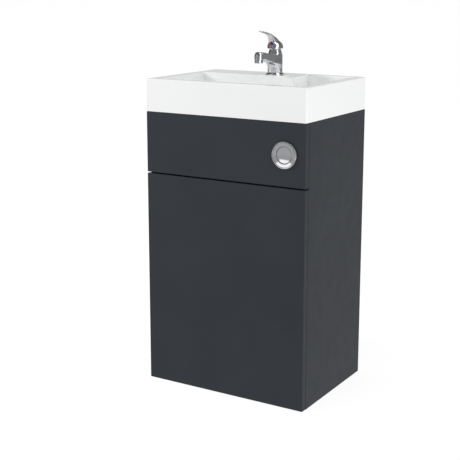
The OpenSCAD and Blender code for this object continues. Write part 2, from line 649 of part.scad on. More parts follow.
module fill_valve_body() {
    color(plastic) translate([-120, cy, 0]) {
        difference() {
            translate([0, 0, tank_z0 - 35]) cylinder(r = 10.4, h = 40);
            tube(11, 9.8, tank_z0 - 13, tank_z0 - 11);
            translate([0, 0, tank_z0 - 36]) cylinder(r = 5, h = 34);
        }
        translate([0, 0, tank_z0 + 4]) cylinder(r = 16, h = 6);
        translate([0, 0, tank_z0 + 9]) cylinder(r = 10, h = 190);
        translate([0, 0, 552]) cylinder(r = 17, h = 24);
        // two ears that carry the float arm
        for (s = [-1, 1]) difference() {
            translate([14, s * 6 - 1.5, 558]) cube([16, 3, 14]);
            translate([25, s * 6, 565]) rotate([90, 0, 0]) cylinder(r = 1.6, h = 8, center = true);
        }
    }
}
module fill_valve_float() {
    color([0.80, 0.82, 0.85]) translate([-120, cy, 0]) {
        difference() {
            union() {
                tube(26, 10.4, 462, 512);
                translate([58, 0, 505]) cylinder(r = 2, h = 55);
                translate([20, -5, 500]) cube([42, 10, 6]);
            }
            translate([0, 0, 455]) cylinder(r = 10.4, h = 70);
        }
    }
}
module fill_valve_arm() {
    color([0.55, 0.57, 0.60]) translate([-120, cy, 0]) difference() {
        union() {
            translate([21, -4, 561.5]) cube([42, 8, 6]);
            translate([25, 0, 565]) rotate([90, 0, 0]) cylinder(r = 5, h = 8, center = true);
            translate([25, 0, 565]) rotate([90, 0, 0]) cylinder(r = 1.55, h = 15, center = true);
        }
        translate([20, -5, 540]) cube([60, 10, 17]);
    }
}
module flush_valve_body() {
    color([0.86, 0.87, 0.88]) translate([0, cy, 0]) {
        // threaded outlet and seat
        difference() {
            union() {
                translate([0, 0, tank_z0 - 24]) cylinder(r = 28, h = 29);
                translate([0, 0, tank_z0 + 4]) cylinder(r = 38, h = 6);
            }
            translate([0, 0, tank_z0 - 30]) cylinder(r = 24, h = 50);
        }
        // guide tower on four legs, open between them for the water
        for (a = [45, 135, 225, 315]) rotate([0, 0, a]) translate([29, -3, tank_z0 + 9.5]) cube([4, 6, 50]);
        difference() {
            union() {
                tube(33, 29, tank_z0 + 59, tank_z0 + 235);
                translate([28, -18, tank_z0 + 200]) cube([40, 36, 50]);
            }
            translate([0, 0, tank_z0 + 190]) cylinder(r = 29, h = 80);
        }
        // ring that guides the lifting tube
        tube(17, 14.3, tank_z0 + 176, tank_z0 + 184);
        for (a = [0 : 90 : 270]) rotate([0, 0, a + 45]) translate([16, -1.5, tank_z0 + 176]) cube([14, 3, 8]);
        // barbs of the two air hoses
        for (x = HOSE_X) translate([x, 0, tank_z0 + 249]) cylinder(r = 2.4, h = 51);
    }
}
module flush_valve_tube() {
    // overflow and lifting tube, with the seal that closes the seat
    color([0.70, 0.78, 0.86]) translate([0, cy, 0]) {
        difference() {
            union() {
                translate([0, 0, tank_z0 + 10]) cylinder(r = 28, h = 3);
                translate([0, 0, tank_z0 + 12.9]) cylinder(r = 14, h = 190);
            }
            translate([0, 0, tank_z0]) cylinder(r = 11.5, h = 230);
        }
    }
}
module cistern_backnuts() {
    color(plastic) {
        translate([0, cy, 0]) grip_nut(40, 28.2, tank_z0 - 14, tank_z0, 16);
        translate([-120, cy, 0]) hex_nut(18, 10.6, tank_z0 - 9, tank_z0);
    }
}
module flush_pipe() {
    color(white) translate([0, cy, 0]) {
        bent_pipe(22, 19.5, tank_z0 - 49, 272, -(cy - (yf + front_t + 14)), 38);
        // socket under the cistern's outlet
        tube(34, 28.2, tank_z0 - 40, tank_z0 - 15);
        tube(34, 19.5, tank_z0 - 50, tank_z0 - 40);
    }
}

side_panel_left();
side_panel_right();
top_front_rail();
top_back_rail();
mid_front_rail();
cistern_rail();
bottom_front_rail();
bottom_back_rail();
rail_dowels();
rail_cam_fasteners();
upper_front_panel();
front_fixing_blocks();
fixing_screws();
lower_front_panel();
panel_catch_studs();
panel_catch_sockets();
floor_brackets();
basin();
waste_flange();
waste_plug();
waste_seal();
waste_backnut();
trap_nuts();
trap_body();
trap_cup();
trap_outlet_pipe();
tap_base_ring();
tap_body();
tap_cartridge();
tap_dome_nut();
tap_carrier();
tap_pivot_pin();
tap_stem();
tap_handle();
tap_index_cap();
tap_index_screw();
aerator_ring();
aerator_insert();
tap_stud();
tap_horseshoe_washer();
tap_stud_nut();
tap_tails();
tail_clips();
flush_bezel();
flush_backnut();
full_flush_ring();
half_flush_button();
full_flush_spring();
half_flush_spring();
air_pump_body();
air_hoses();
cistern_tank();
cistern_lid();
fill_valve_body();
fill_valve_float();
fill_valve_arm();
flush_valve_body();
flush_valve_tube();
cistern_backnuts();
flush_pipe();
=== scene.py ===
import math

import bmesh
import bpy
import numpy as np
from mathutils import Matrix, Vector
from mathutils.geometry import delaunay_2d_cdt


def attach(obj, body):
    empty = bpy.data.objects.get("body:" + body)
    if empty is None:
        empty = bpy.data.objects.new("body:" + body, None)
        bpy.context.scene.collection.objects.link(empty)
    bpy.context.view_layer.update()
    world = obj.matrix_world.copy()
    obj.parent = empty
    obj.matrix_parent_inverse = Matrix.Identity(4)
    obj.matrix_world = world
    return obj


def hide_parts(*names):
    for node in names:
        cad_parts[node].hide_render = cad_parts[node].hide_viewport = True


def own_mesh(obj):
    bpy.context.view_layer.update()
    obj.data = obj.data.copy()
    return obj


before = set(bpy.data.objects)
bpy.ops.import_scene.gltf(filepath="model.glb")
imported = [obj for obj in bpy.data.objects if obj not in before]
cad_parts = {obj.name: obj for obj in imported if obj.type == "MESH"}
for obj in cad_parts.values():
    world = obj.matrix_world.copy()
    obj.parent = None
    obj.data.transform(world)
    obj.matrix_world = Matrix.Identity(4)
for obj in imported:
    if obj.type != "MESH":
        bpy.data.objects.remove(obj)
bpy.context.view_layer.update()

scene = bpy.context.scene
MM = 0.001

# Sizes in millimetres, the same as the frame's
HW, YB, YF = 250.0, 183.75, -176.25
YS, XI = YF + 20.5, 232.0
CAB, TOP, BF = 784.0, 875.0, 803.0
TX, TY = -10.0, 125.75
WX, WY = 0.0, -30.0
CY = YB - 85
BX, BZ = 189.0, 698.0
TANK0, TANK1 = 360.0, 640.0


# ---------------------------------------------------------------- node helpers

class Graph:
    def __init__(self, tree):
        self.t = tree
        tree.nodes.clear()

    def new(self, kind, **sets):
        n = self.t.nodes.new(kind)
        for k, v in sets.items():
            setattr(n, k, v)
        return n

    def put(self, socket, value):
        if isinstance(value, bpy.types.NodeSocket):
            self.t.links.new(value, socket)
        else:
            socket.default_value = value

    def math(self, op, a, b=0.0, c=0.0, clamp=False):
        n = self.new("ShaderNodeMath", operation=op, use_clamp=clamp)
        for s, v in zip(n.inputs, (a, b, c)):
            self.put(s, v)
        return n.outputs[0]

    def vmath(self, op, a, b=(0.0, 0.0, 0.0)):
        n = self.new("ShaderNodeVectorMath", operation=op)
        self.put(n.inputs[0], a)
        self.put(n.inputs[1], b)
        return n.outputs["Value"] if op in ("DOT_PRODUCT", "LENGTH") else n.outputs[0]

    def ramp(self, v, a, b, c=0.0, d=1.0, kind="SMOOTHSTEP"):
        n = self.new("ShaderNodeMapRange", interpolation_type=kind)
        for s, x in zip(n.inputs[:5], (v, a, b, c, d)):
            self.put(s, x)
        return n.outputs[0]

    def mix(self, f, a, b):
        n = self.new("ShaderNodeMix", data_type="RGBA")
        self.put(n.inputs[0], f)
        self.put(n.inputs[6], a if not isinstance(a, tuple) or len(a) == 4 else (*a, 1.0))
        self.put(n.inputs[7], b if not isinstance(b, tuple) or len(b) == 4 else (*b, 1.0))
        return n.outputs[2]

    def coords(self, kind="Object"):
        return self.new("ShaderNodeTexCoord").outputs[kind]

    def scaled(self, v, s):
        return self.vmath("MULTIPLY", v, s)

    def noise(self, v, scale, detail=2.0, rough=0.5, distort=0.0):
        n = self.new("ShaderNodeTexNoise")
        self.put(n.inputs["Vector"], v)
        n.inputs["Scale"].default_value = scale
        n.inputs["Detail"].default_value = detail
        n.inputs["Roughness"].default_value = rough
        n.inputs["Distortion"].default_value = distort
        return n.outputs[0]

    def voronoi(self, v, scale, feature="F1", out="Distance"):
        n = self.new("ShaderNodeTexVoronoi", feature=feature)
        self.put(n.inputs["Vector"], v)
        n.inputs["Scale"].default_value = scale
        return n.outputs[out]

    def sep(self, v):
        n = self.new("ShaderNodeSeparateXYZ")
        self.put(n.inputs[0], v)
        return n.outputs


def lift(c, k):
    return tuple(min(1.0, x * k) for x in c)


def material(name, dark, light, rough, metal=0.0, patch=7.0, speck=900.0, speck_amount=0.25, wave=0.0, wave_scale=30.0,
             grain=0.05, grain_scale=600.0, grain_depth=0.0001, specular=0.5, coat=0.0, coat_rough=0.05, ior=1.5,
             transmission=0.0, stretch=None, extra=None):
    """A finish with cloudy and fine colour variation, a roughness that varies with it, and a surface grain."""
    m = bpy.data.materials.new(name)
    m.use_nodes = True
    g = Graph(m.node_tree)
    out = g.new("ShaderNodeOutputMaterial")
    p = g.new("ShaderNodeBsdfPrincipled")
    g.t.links.new(p.outputs[0], out.inputs[0])
    v = g.coords()
    if stretch:
        v = g.scaled(v, stretch)
    cloud = g.noise(v, patch, 3.0, 0.55)
    fine = g.noise(v, speck, 1.0, 0.5)
    f = g.math("ADD", g.math("MULTIPLY", g.ramp(cloud, 0.35, 0.65), 1.0 - speck_amount),
               g.math("MULTIPLY", g.ramp(fine, 0.35, 0.65), speck_amount))
    col = g.mix(f, dark, light)
    rg = g.ramp(g.noise(v, patch * 5.0, 2.0, 0.6), 0.3, 0.7, rough[0], rough[1], "LINEAR")
    height = g.noise(v, grain_scale, 2.0, 0.5)
    bump = g.new("ShaderNodeBump")
    bump.inputs["Strength"].default_value = grain
    bump.inputs["Distance"].default_value = grain_depth
    g.put(bump.inputs["Height"], height)
    normal = bump.outputs[0]
    if wave:
        b2 = g.new("ShaderNodeBump")
        b2.inputs["Strength"].default_value = wave
        b2.inputs["Distance"].default_value = 0.001
        g.put(b2.inputs["Height"], g.noise(v, wave_scale, 1.0, 0.4))
        g.put(b2.inputs["Normal"], normal)
        normal = b2.outputs[0]
    if extra:
        col, rg, normal = extra(g, v, col, rg, normal)
    g.put(p.inputs["Base Color"], col)
    g.put(p.inputs["Roughness"], rg)
    g.put(p.inputs["Normal"], normal)
    p.inputs["Metallic"].default_value = metal
    p.inputs["Specular IOR Level"].default_value = specular
    p.inputs["IOR"].default_value = ior
    p.inputs["Coat Weight"].default_value = coat
    p.inputs["Coat Roughness"].default_value = coat_rough
    p.inputs["Transmission Weight"].default_value = transmission
    m.diffuse_color = (*lift(light, 1.0), 1.0)
    return m


def bumped(g, height, strength, distance, normal):
    b = g.new("ShaderNodeBump")
    b.inputs["Strength"].default_value = strength
    b.inputs["Distance"].default_value = distance
    g.put(b.inputs["Height"], height)
    g.put(b.inputs["Normal"], normal)
    return b.outputs[0]


def chip_extra(g, v, col, rg, normal):
    """Pressed wood particles"""
    cell = g.voronoi(v, 420.0, out="Color")
    tone = g.sep(cell)[0]
    c = g.mix(g.ramp(tone, 0.1, 0.9), (0.17, 0.10, 0.055), (0.52, 0.37, 0.22))
    col = g.mix(0.65, col, c)
    return col, rg, bumped(g, tone, 0.5, 0.0004, normal)


def wood_extra(g, v, col, rg, normal):
    """Fluted beech: flutes run along X, grain too"""
    s = g.sep(v)
    grain = g.noise(g.scaled(v, (60.0, 900.0, 900.0)), 1.0, 3.0, 0.6)
    col = g.mix(g.ramp(grain, 0.35, 0.7), col, (0.36, 0.21, 0.10))
    return col, rg, bumped(g, grain, 0.3, 0.0003, normal)


def spangle_extra(g, v, col, rg, normal):
    """Zinc: small cloudy crystals"""
    cell = g.sep(g.voronoi(v, 260.0, out="Color"))[1]
    col = g.mix(g.ramp(cell, 0.2, 0.8, 0.0, 0.35), col, (0.40, 0.41, 0.42))
    return col, g.math("ADD", rg, g.math("MULTIPLY", cell, 0.08)), normal


def braid_extra(g, v, col, rg, normal):
    """Steel braid: two sets of strands that cross, drawn on the sweep's own length and turn"""
    uv = g.sep(g.coords("UV"))
    a = g.math("ADD", g.math("MULTIPLY", uv[0], 12.0), g.math("MULTIPLY", uv[1], 12.0))
    b = g.math("SUBTRACT", g.math("MULTIPLY", uv[0], 12.0), g.math("MULTIPLY", uv[1], 12.0))
    sa = g.math("ABSOLUTE", g.math("SINE", g.math("MULTIPLY", a, math.pi)))
    sb = g.math("ABSOLUTE", g.math("SINE", g.math("MULTIPLY", b, math.pi)))
    over = g.math("GREATER_THAN", g.math("SINE", g.math("MULTIPLY", g.math("ADD", a, b), math.pi)), 0.0)
    h = g.math("ADD", g.math("MULTIPLY", sa, over), g.math("MULTIPLY", sb, g.math("SUBTRACT", 1.0, over)))
    strands = g.math("MULTIPLY", h, g.math("ADD", 0.85, g.math("MULTIPLY", g.math("SINE", g.math("MULTIPLY", a, 5 * math.pi)), 0.15)))
    col = g.mix(g.ramp(strands, 0.1, 0.75), (0.05, 0.05, 0.055), col)
    return col, rg, bumped(g, strands, 0.8, 0.0004, normal)


def index_extra(g, v, col, rg, normal):
    """Warm and cold marks: the left half red, the right half blue"""
    x = g.math("SUBTRACT", g.sep(v)[0], TX * MM)
    half = g.ramp(x, -0.00012, 0.00012)
    return g.mix(half, (0.36, 0.004, 0.016), (0.002, 0.007, 0.25)), rg, normal


def float_extra(g, v, col, rg, normal):
    """Fine turned rings of a moulded float"""
    ring = g.math("SINE", g.math("MULTIPLY", g.sep(v)[2], 2 * math.pi / 0.004))
    return col, rg, bumped(g, ring, 0.15, 0.0002, normal)


MAT = {
    "panel": material("panel_lacquer", (0.0213, 0.0256, 0.0328), (0.0251, 0.0298, 0.0381), (0.36, 0.44), patch=5.0,
                      speck=1400.0, speck_amount=0.3, grain=0.10, grain_scale=520.0, grain_depth=0.0001),
    "board": material("carcass_melamine", (0.060, 0.064, 0.070), (0.078, 0.082, 0.088), (0.42, 0.52), speck=1600.0,
                      speck_amount=0.5, grain=0.25, grain_scale=900.0),
    "chip": material("chipboard_edge", (0.30, 0.20, 0.115), (0.40, 0.28, 0.17), (0.75, 0.9), speck=700.0,
                     speck_amount=0.5, grain=0.5, grain_scale=500.0, grain_depth=0.0003, extra=chip_extra),
    "wood": material("beech_dowel", (0.46, 0.30, 0.16), (0.58, 0.40, 0.23), (0.55, 0.7), extra=wood_extra),
    "glaze": material("white_glaze", (0.865, 0.870, 0.870), (0.880, 0.885, 0.885), (0.06, 0.10), patch=3.0, speck=500.0,
                      speck_amount=0.15, wave=0.05, wave_scale=22.0, grain=0.03, grain_scale=260.0, coat=0.25,
                      coat_rough=0.03),
    "biscuit": material("unglazed_clay", (0.70, 0.68, 0.63), (0.78, 0.76, 0.71), (0.75, 0.9), speck=700.0,
                        grain=0.5, grain_scale=700.0, grain_depth=0.0002),
    "chrome": material("chrome_plate", (0.80, 0.81, 0.83), (0.84, 0.85, 0.87), (0.035, 0.07), 1.0, patch=9.0,
                       speck=600.0, speck_amount=0.2, grain=0.015, grain_scale=240.0, wave=0.02, wave_scale=30.0),
    "satin_chrome": material("satin_chrome", (0.66, 0.67, 0.69), (0.74, 0.75, 0.77), (0.22, 0.30), 1.0, speck=1200.0,
                             grain=0.05, grain_scale=900.0),
    "zinc": material("zinc_steel", (0.50, 0.51, 0.52), (0.62, 0.63, 0.64), (0.28, 0.42), 1.0, speck=900.0,
                     grain=0.15, grain_scale=800.0, extra=spangle_extra),
    "brass": material("machined_brass", (0.62, 0.44, 0.19), (0.74, 0.55, 0.27), (0.20, 0.34), 1.0, speck=900.0,
                      grain=0.1, grain_scale=900.0),
    "white": material("white_plastic", (0.72, 0.72, 0.71), (0.79, 0.79, 0.78), (0.30, 0.42), speck=1200.0,
                      grain=0.15, grain_scale=800.0),
    "valve": material("grey_valve_plastic", (0.50, 0.54, 0.58), (0.60, 0.64, 0.68), (0.32, 0.44), speck=1200.0,
                      grain=0.15, grain_scale=800.0),
    "float": material("float_plastic", (0.10, 0.22, 0.38), (0.15, 0.29, 0.46), (0.34, 0.46), speck=1200.0,
                      grain=0.15, grain_scale=800.0, extra=float_extra),
    "cistern": material("cistern_plastic", (0.60, 0.61, 0.60), (0.68, 0.69, 0.68), (0.42, 0.55), patch=4.0,
                        speck=800.0, speck_amount=0.2, grain=0.35, grain_scale=520.0, grain_depth=0.0002),
    "cartridge": material("cartridge_plastic", (0.62, 0.60, 0.54), (0.70, 0.68, 0.62), (0.34, 0.46), speck=1200.0,
                          grain=0.15, grain_scale=800.0),
    "rubber": material("black_rubber", (0.018, 0.018, 0.019), (0.032, 0.032, 0.033), (0.62, 0.8), speck=900.0,
                       grain=0.4, grain_scale=700.0, grain_depth=0.0002),
    "braid": material("steel_braid", (0.55, 0.56, 0.58), (0.72, 0.73, 0.75), (0.26, 0.38), 0.95, extra=braid_extra),
    "clear": material("clear_hose", (0.70, 0.76, 0.80), (0.80, 0.85, 0.88), (0.12, 0.2), transmission=0.75, ior=1.45,
                      grain=0.05),
    "index": material("index_mark", (0.5, 0.5, 0.5), (0.6, 0.6, 0.6), (0.18, 0.26), coat=0.15, extra=index_extra),
    "dark": material("dark_plastic", (0.030, 0.031, 0.033), (0.042, 0.043, 0.045), (0.40, 0.52), speck=1200.0,
                     grain=0.2, grain_scale=800.0),
}


# ---------------------------------------------------------------- mesh helpers

def put(name, verts, faces, mats, body, replaces=(), sharp=32.0, ids=None, weighted=True, uvs=None, local=None):
    """A mesh piece in the row frame from points in millimetres. local is a 4x4 that takes its points into the frame."""
    me = bpy.data.meshes.new(name)
    v = np.asarray(verts, float).reshape(-1, 3)
    if local is not None:
        m = np.array(local, float)
        v = v @ m[:3, :3].T + m[:3, 3]
    me.from_pydata((v * MM).tolist(), [], [tuple(int(i) for i in f) for f in faces])
    for m in (mats if isinstance(mats, (list, tuple)) else [mats]):
        me.materials.append(m)
    if ids is not None:
        me.polygons.foreach_set("material_index", np.asarray(ids, np.int32))
    if uvs is not None:
        layer = me.uv_layers.new(name="sweep")
        layer.data.foreach_set("uv", np.asarray(uvs, np.float32).ravel())
    ob = bpy.data.objects.new(name, me)
    scene.collection.objects.link(ob)
    tidy(ob, sharp, weighted)
    return dress(ob, body, replaces)


def tidy(ob, sharp=32.0, weighted=True):
    me = ob.data
    bm = bmesh.new()
    bm.from_mesh(me)
    bmesh.ops.recalc_face_normals(bm, faces=bm.faces)
    bm.to_mesh(me)
    bm.free()
    me.polygons.foreach_set("use_smooth", np.ones(len(me.polygons), bool))
    me.set_sharp_from_angle(angle=math.radians(sharp))
    if weighted:
        w = ob.modifiers.new("weighted", "WEIGHTED_NORMAL")
        w.keep_sharp = True
        w.weight = 80
    me.update()


def dress(ob, body, replaces=()):
    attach(ob, body)
    if replaces:
        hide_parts(*([replaces] if isinstance(replaces, str) else replaces))
    return ob


def evaluate(ob):
    """ob with its modifiers applied, as the same object with a new mesh"""
    bpy.context.view_layer.update()
    me = bpy.data.meshes.new_from_object(ob.evaluated_get(bpy.context.evaluated_depsgraph_get()))
    ob.modifiers.clear()
    ob.data = me
    return ob


def temp(name, verts, faces, local=None):
    me = bpy.data.meshes.new(name)
    v = np.asarray(verts, float).reshape(-1, 3)
    if local is not None:
        m = np.array(local, float)
        v = v @ m[:3, :3].T + m[:3, 3]
    me.from_pydata((v * MM).tolist(), [], [tuple(int(i) for i in f) for f in faces])
    ob = bpy.data.objects.new(name, me)
    scene.collection.objects.link(ob)
    bm = bmesh.new()
    bm.from_mesh(me)
    bmesh.ops.recalc_face_normals(bm, faces=bm.faces)
    bm.to_mesh(me)
    bm.free()
    return ob


def carve(ob, cutters):
    """ob less the cutters, which are used up"""
    for i, c in enumerate(cutters):
        b = ob.modifiers.new("cut%d" % i, "BOOLEAN")
        b.operation = "DIFFERENCE"
        b.solver = "EXACT"
        b.object = c
    evaluate(ob)
    for c in cutters:
        me = c.data
        bpy.data.objects.remove(c)
        bpy.data.meshes.remove(me)
    return ob


def round_poly(pts, n=5, closed=True):
    """A polyline whose corners (x, y, radius) are turned into arcs"""
    out, m = [], len(pts)
    for i, p in enumerate(pts):
        r = p[2] if len(p) > 2 else 0.0
        if r <= 0 or (not closed and i in (0, m - 1)):
            out.append((p[0], p[1]))
            continue
        a, b, c = (np.array(q[:2], float) for q in (pts[i - 1], p, pts[(i + 1) % m]))
        u, v = (a - b) / np.linalg.norm(a - b), (c - b) / np.linalg.norm(c - b)
        ang = math.acos(max(-1.0, min(1.0, float(u @ v))))
        d = min(r / math.tan(ang / 2), 0.499 * np.linalg.norm(a - b), 0.499 * np.linalg.norm(c - b))
        r = d * math.tan(ang / 2)
        mid = b + (u + v) / np.linalg.norm(u + v) * r / math.sin(ang / 2)
        s, e = b + u * d - mid, b + v * d - mid
        t0 = math.atan2(s[1], s[0])
        dt = (math.atan2(e[1], e[0]) - t0 + math.pi) % (2 * math.pi) - math.pi
        for k in range(n + 1):
            t = t0 + dt * k / n
            out.append((mid[0] + r * math.cos(t), mid[1] + r * math.sin(t)))
    return out


def lathe(profile, segs=96):
    """Points and faces of a profile (r, z) turned about Z. It is closed, unless both ends lie on the axis."""
    axis_ends = profile[0][0] < 1e-6 and profile[-1][0] < 1e-6
    verts, rings = [], []
    for r, z in profile:
        if r < 1e-6:
            rings.append([len(verts)])
            verts.append((0.0, 0.0, z))
        else:
            rings.append(list(range(len(verts), len(verts) + segs)))
            verts += [(r * math.cos(2 * math.pi * k / segs), r * math.sin(2 * math.pi * k / segs), z) for k in range(segs)]
    faces = []
    pairs = list(zip(rings, rings[1:])) + ([] if axis_ends else [(rings[-1], rings[0])])
    for a, b in pairs:
        for k in range(segs):
            j = (k + 1) % segs
            if len(a) == 1 and len(b) == 1:
                break
            if len(a) == 1:
                faces.append((a[0], b[k], b[j]))
            elif len(b) == 1:
                faces.append((a[k], b[0], a[j]))
            else:
                faces.append((a[k], b[k], b[j], a[j]))
    return verts, faces


def join(*parts):
    """Several (verts, faces) as one, with the index of the part each face came from"""
    verts, faces, ids = [], [], []
    for i, (v, f) in enumerate(parts):
        n = len(verts)
        verts += [tuple(p) for p in v]
        faces += [tuple(k + n for k in q) for q in f]
        ids += [i] * len(f)
    return verts, faces, ids


def moved(part, m):
    m = np.array(m, float)
    return (np.asarray(part[0], float) @ m[:3, :3].T + m[:3, 3]).tolist(), part[1]


def at(x, y, z):
    return Matrix.Translation((x, y, z))


def ring_rect(x0, y0, x1, y1, r, n=8):
    return round_poly([(x1, y1, r), (x0, y1, r), (x0, y0, r), (x1, y0, r)], n)


def stack(loops, cap0=True, cap1=True, closed=False):
    """Skin over a list of 3-D loops of the same length"""
    n = len(loops[0])
    verts = [tuple(p) for l in loops for p in l]
    faces = []
    m = len(loops)
    for a in range(m if closed else m - 1):
        b = (a + 1) % m
        for k in range(n):
            j = (k + 1) % n
            faces.append((a * n + k, a * n + j, b * n + j, b * n + k))
    if not closed:
        if cap0:
            faces.append(tuple(reversed(range(n))))
        if cap1:
            faces.append(tuple((m - 1) * n + k for k in range(n)))
    return verts, faces


def slab(x0, x1, y0, y1, z0, z1, bevel=0.8, segs=3):
    """A board with eased edges, as (verts, faces)"""
    bm = bmesh.new()
    bmesh.ops.create_cube(bm, size=1.0)
    for v in bm.verts:
        v.co = Vector(((x0 + x1) / 2 + v.co.x * (x1 - x0), (y0 + y1) / 2 + v.co.y * (y1 - y0), (z0 + z1) / 2 + v.co.z * (z1 - z0)))
    if bevel:
        bmesh.ops.bevel(bm, geom=list(bm.edges), offset=bevel, offset_type="OFFSET", segments=segs, profile=0.5, affect="EDGES")
    bm.verts.index_update()
    out = [tuple(v.co) for v in bm.verts], [tuple(v.index for v in f.verts) for f in bm.faces]
    bm.free()
    return out


def smooth_path(points, step=4.0, passes=40):
    """A dense, evenly spaced and gently smoothed line through given points; its ends and end directions stay"""
    p = np.asarray(points, float)

    def even(q, n):
        d = np.r_[0, np.cumsum(np.linalg.norm(np.diff(q, axis=0), axis=1))]
        s = np.linspace(0, d[-1], n)
        return np.stack([np.interp(s, d, q[:, k]) for k in range(3)], 1)
    total = np.linalg.norm(np.diff(p, axis=0), axis=1).sum()
    n = max(8, int(total / step) + 1)
    q = even(p, n)
    for _ in range(passes):
        q[2:-2] = 0.5 * q[2:-2] + 0.25 * (q[1:-3] + q[3:-1])
    return even(q, n)


def sweep(path, r, sides=20, inner=None, uv_len=8.0):
    """A tube along a path: (verts, faces, loop uvs). With inner it is a pipe with that bore."""
    p = np.asarray(path, float)
    t = np.gradient(p, axis=0)
    t /= np.linalg.norm(t, axis=1)[:, None]
    u = np.cross(t[0], (0.3, 0.5, 0.81))
    u /= np.linalg.norm(u)
    dist = np.r_[0, np.cumsum(np.linalg.norm(np.diff(p, axis=0), axis=1))]
    frames = []
    for k in range(len(p)):
        u = u - t[k] * (u @ t[k])
        u /= np.linalg.norm(u)
        frames.append((u, np.cross(t[k], u)))

    def loops(radius):
        return [[tuple(p[k] + radius * (math.cos(a) * f[0] + math.sin(a) * f[1]))
                 for a in np.linspace(0, 2 * math.pi, sides, endpoint=False)] for k, f in enumerate(frames)]
    outer = loops(r)
    if inner is None:
        v, f = stack(outer)
    else:
        v, f = stack(outer + loops(inner)[::-1], closed=True)
    n = len(p)
    uvs = []
    for face in f:
        ring = [i // sides for i in face]
        turn = [i % sides for i in face]
        wrap = max(turn) - min(turn) > sides / 2
        for a, b in zip(ring, turn):
            a = a if a < n else 2 * n - 1 - a
            uvs.append(((b + (sides if wrap and b == 0 else 0)) / sides, dist[a] / uv_len))
    return v, f, uvs


# ---------------------------------------------------------------- shapes given by a distance function

def u_round(a, b, r):
    return np.maximum(r, np.minimum(a, b)) - np.hypot(np.maximum(r - a, 0), np.maximum(r - b, 0))


def i_round(a, b, r):
    return np.minimum(-r, np.maximum(a, b)) + np.hypot(np.maximum(r + a, 0), np.maximum(r + b, 0))


def curve(xs, ys):
    """A smooth line through the points that doesn't overshoot between them"""
    xs, ys = np.asarray(xs, float), np.asarray(ys, float)
    h, d = np.diff(xs), np.diff(ys) / np.diff(xs)
    m = np.r_[d[0], np.where(d[1:] * d[:-1] > 0, 2 * d[1:] * d[:-1] / np.where(np.abs(d[1:] + d[:-1]) < 1e-9, 1, d[1:] + d[:-1]), 0), d[-1]]

    def f(x):
        k = np.clip(np.searchsorted(xs, x) - 1, 0, len(h) - 1)
        t = np.clip((x - xs[k]) / h[k], 0, 1)
        return ((2 * t**3 - 3 * t**2 + 1) * ys[k] + (t**3 - 2 * t**2 + t) * h[k] * m[k]
                + (3 * t**2 - 2 * t**3) * ys[k + 1] + (t**3 - t**2) * h[k] * m[k + 1])
    return f


def skin(f, lo, hi, step):
    """The surface f = 0, negative inside, as quads: one point in each cell that it crosses, moved onto the surface"""
    ax = [np.arange(a, b + step, step) for a, b in zip(lo, hi)]
    n = [len(a) for a in ax]
    v = f(*np.meshgrid(*ax, indexing="ij")).astype(np.float32)
    ins = v < 0
    cut = (slice(0, -1), slice(1, None))
    count = np.zeros([k - 1 for k in n], np.int32)
    total = np.zeros([k - 1 for k in n] + [3], np.float32)
    for axis in range(3):
        o1, o2 = [k for k in range(3) if k != axis]
        for i in (0, 1):
            for j in (0, 1):
                s0, s1 = [None] * 3, [None] * 3
                s0[axis], s1[axis] = cut[0], cut[1]
                s0[o1] = s1[o1] = cut[i]
                s0[o2] = s1[o2] = cut[j]
                a, b = v[tuple(s0)], v[tuple(s1)]
                x = (a < 0) != (b < 0)
                t = np.where(x, a / np.where(x, a - b, 1), 0)
                count += x
                total[..., axis] += t
                total[..., o1] += np.where(x, float(i), 0)
                total[..., o2] += np.where(x, float(j), 0)
    has = count > 0
    ids = -np.ones(count.shape, np.int64)
    ids[has] = np.arange(int(has.sum()))
    cell = np.argwhere(has)
    pts = (cell + total[has] / count[has][:, None]) * step + np.asarray(lo, float)
    quads = []
    for axis in range(3):
        o1, o2 = [k for k in range(3) if k != axis]
        lo_s, hi_s = [slice(None)] * 3, [slice(None)] * 3
        lo_s[axis], hi_s[axis] = cut
        e0, e1 = ins[tuple(lo_s)], ins[tuple(hi_s)]
        where = np.argwhere(e0 != e1)
        keep = (where[:, o1] > 0) & (where[:, o2] > 0) & (where[:, o1] < n[o1] - 1) & (where[:, o2] < n[o2] - 1)
        where = where[keep]
        c = []
        for i, j in ((-1, -1), (0, -1), (0, 0), (-1, 0)):
            w = where.copy()
            w[:, o1] += i
            w[:, o2] += j
            c.append(ids[tuple(w.T)])
        q = np.stack(c, 1)
        flip = e0[tuple(where.T)] == (axis == 1)
        q[flip] = q[flip][:, ::-1]
        quads.append(q)
    quads = np.concatenate(quads)
    h = 0.02
    for _ in range(4):
        d = f(*pts.T)
        gr = np.stack([(f(*(pts + e).T) - f(*(pts - e).T)) / (2 * h) for e in np.eye(3) * h], 1)
        move = d[:, None] * gr / np.maximum((gr**2).sum(1), 0.05)[:, None]
        size = np.linalg.norm(move, axis=1)
        pts -= move * np.minimum(1, 0.35 * step / np.maximum(size, 1e-9))[:, None]
    return pts, quads


# ---------------------------------------------------------------- camera, world, lights and floor

def unit(v):
    return v / np.linalg.norm(v)


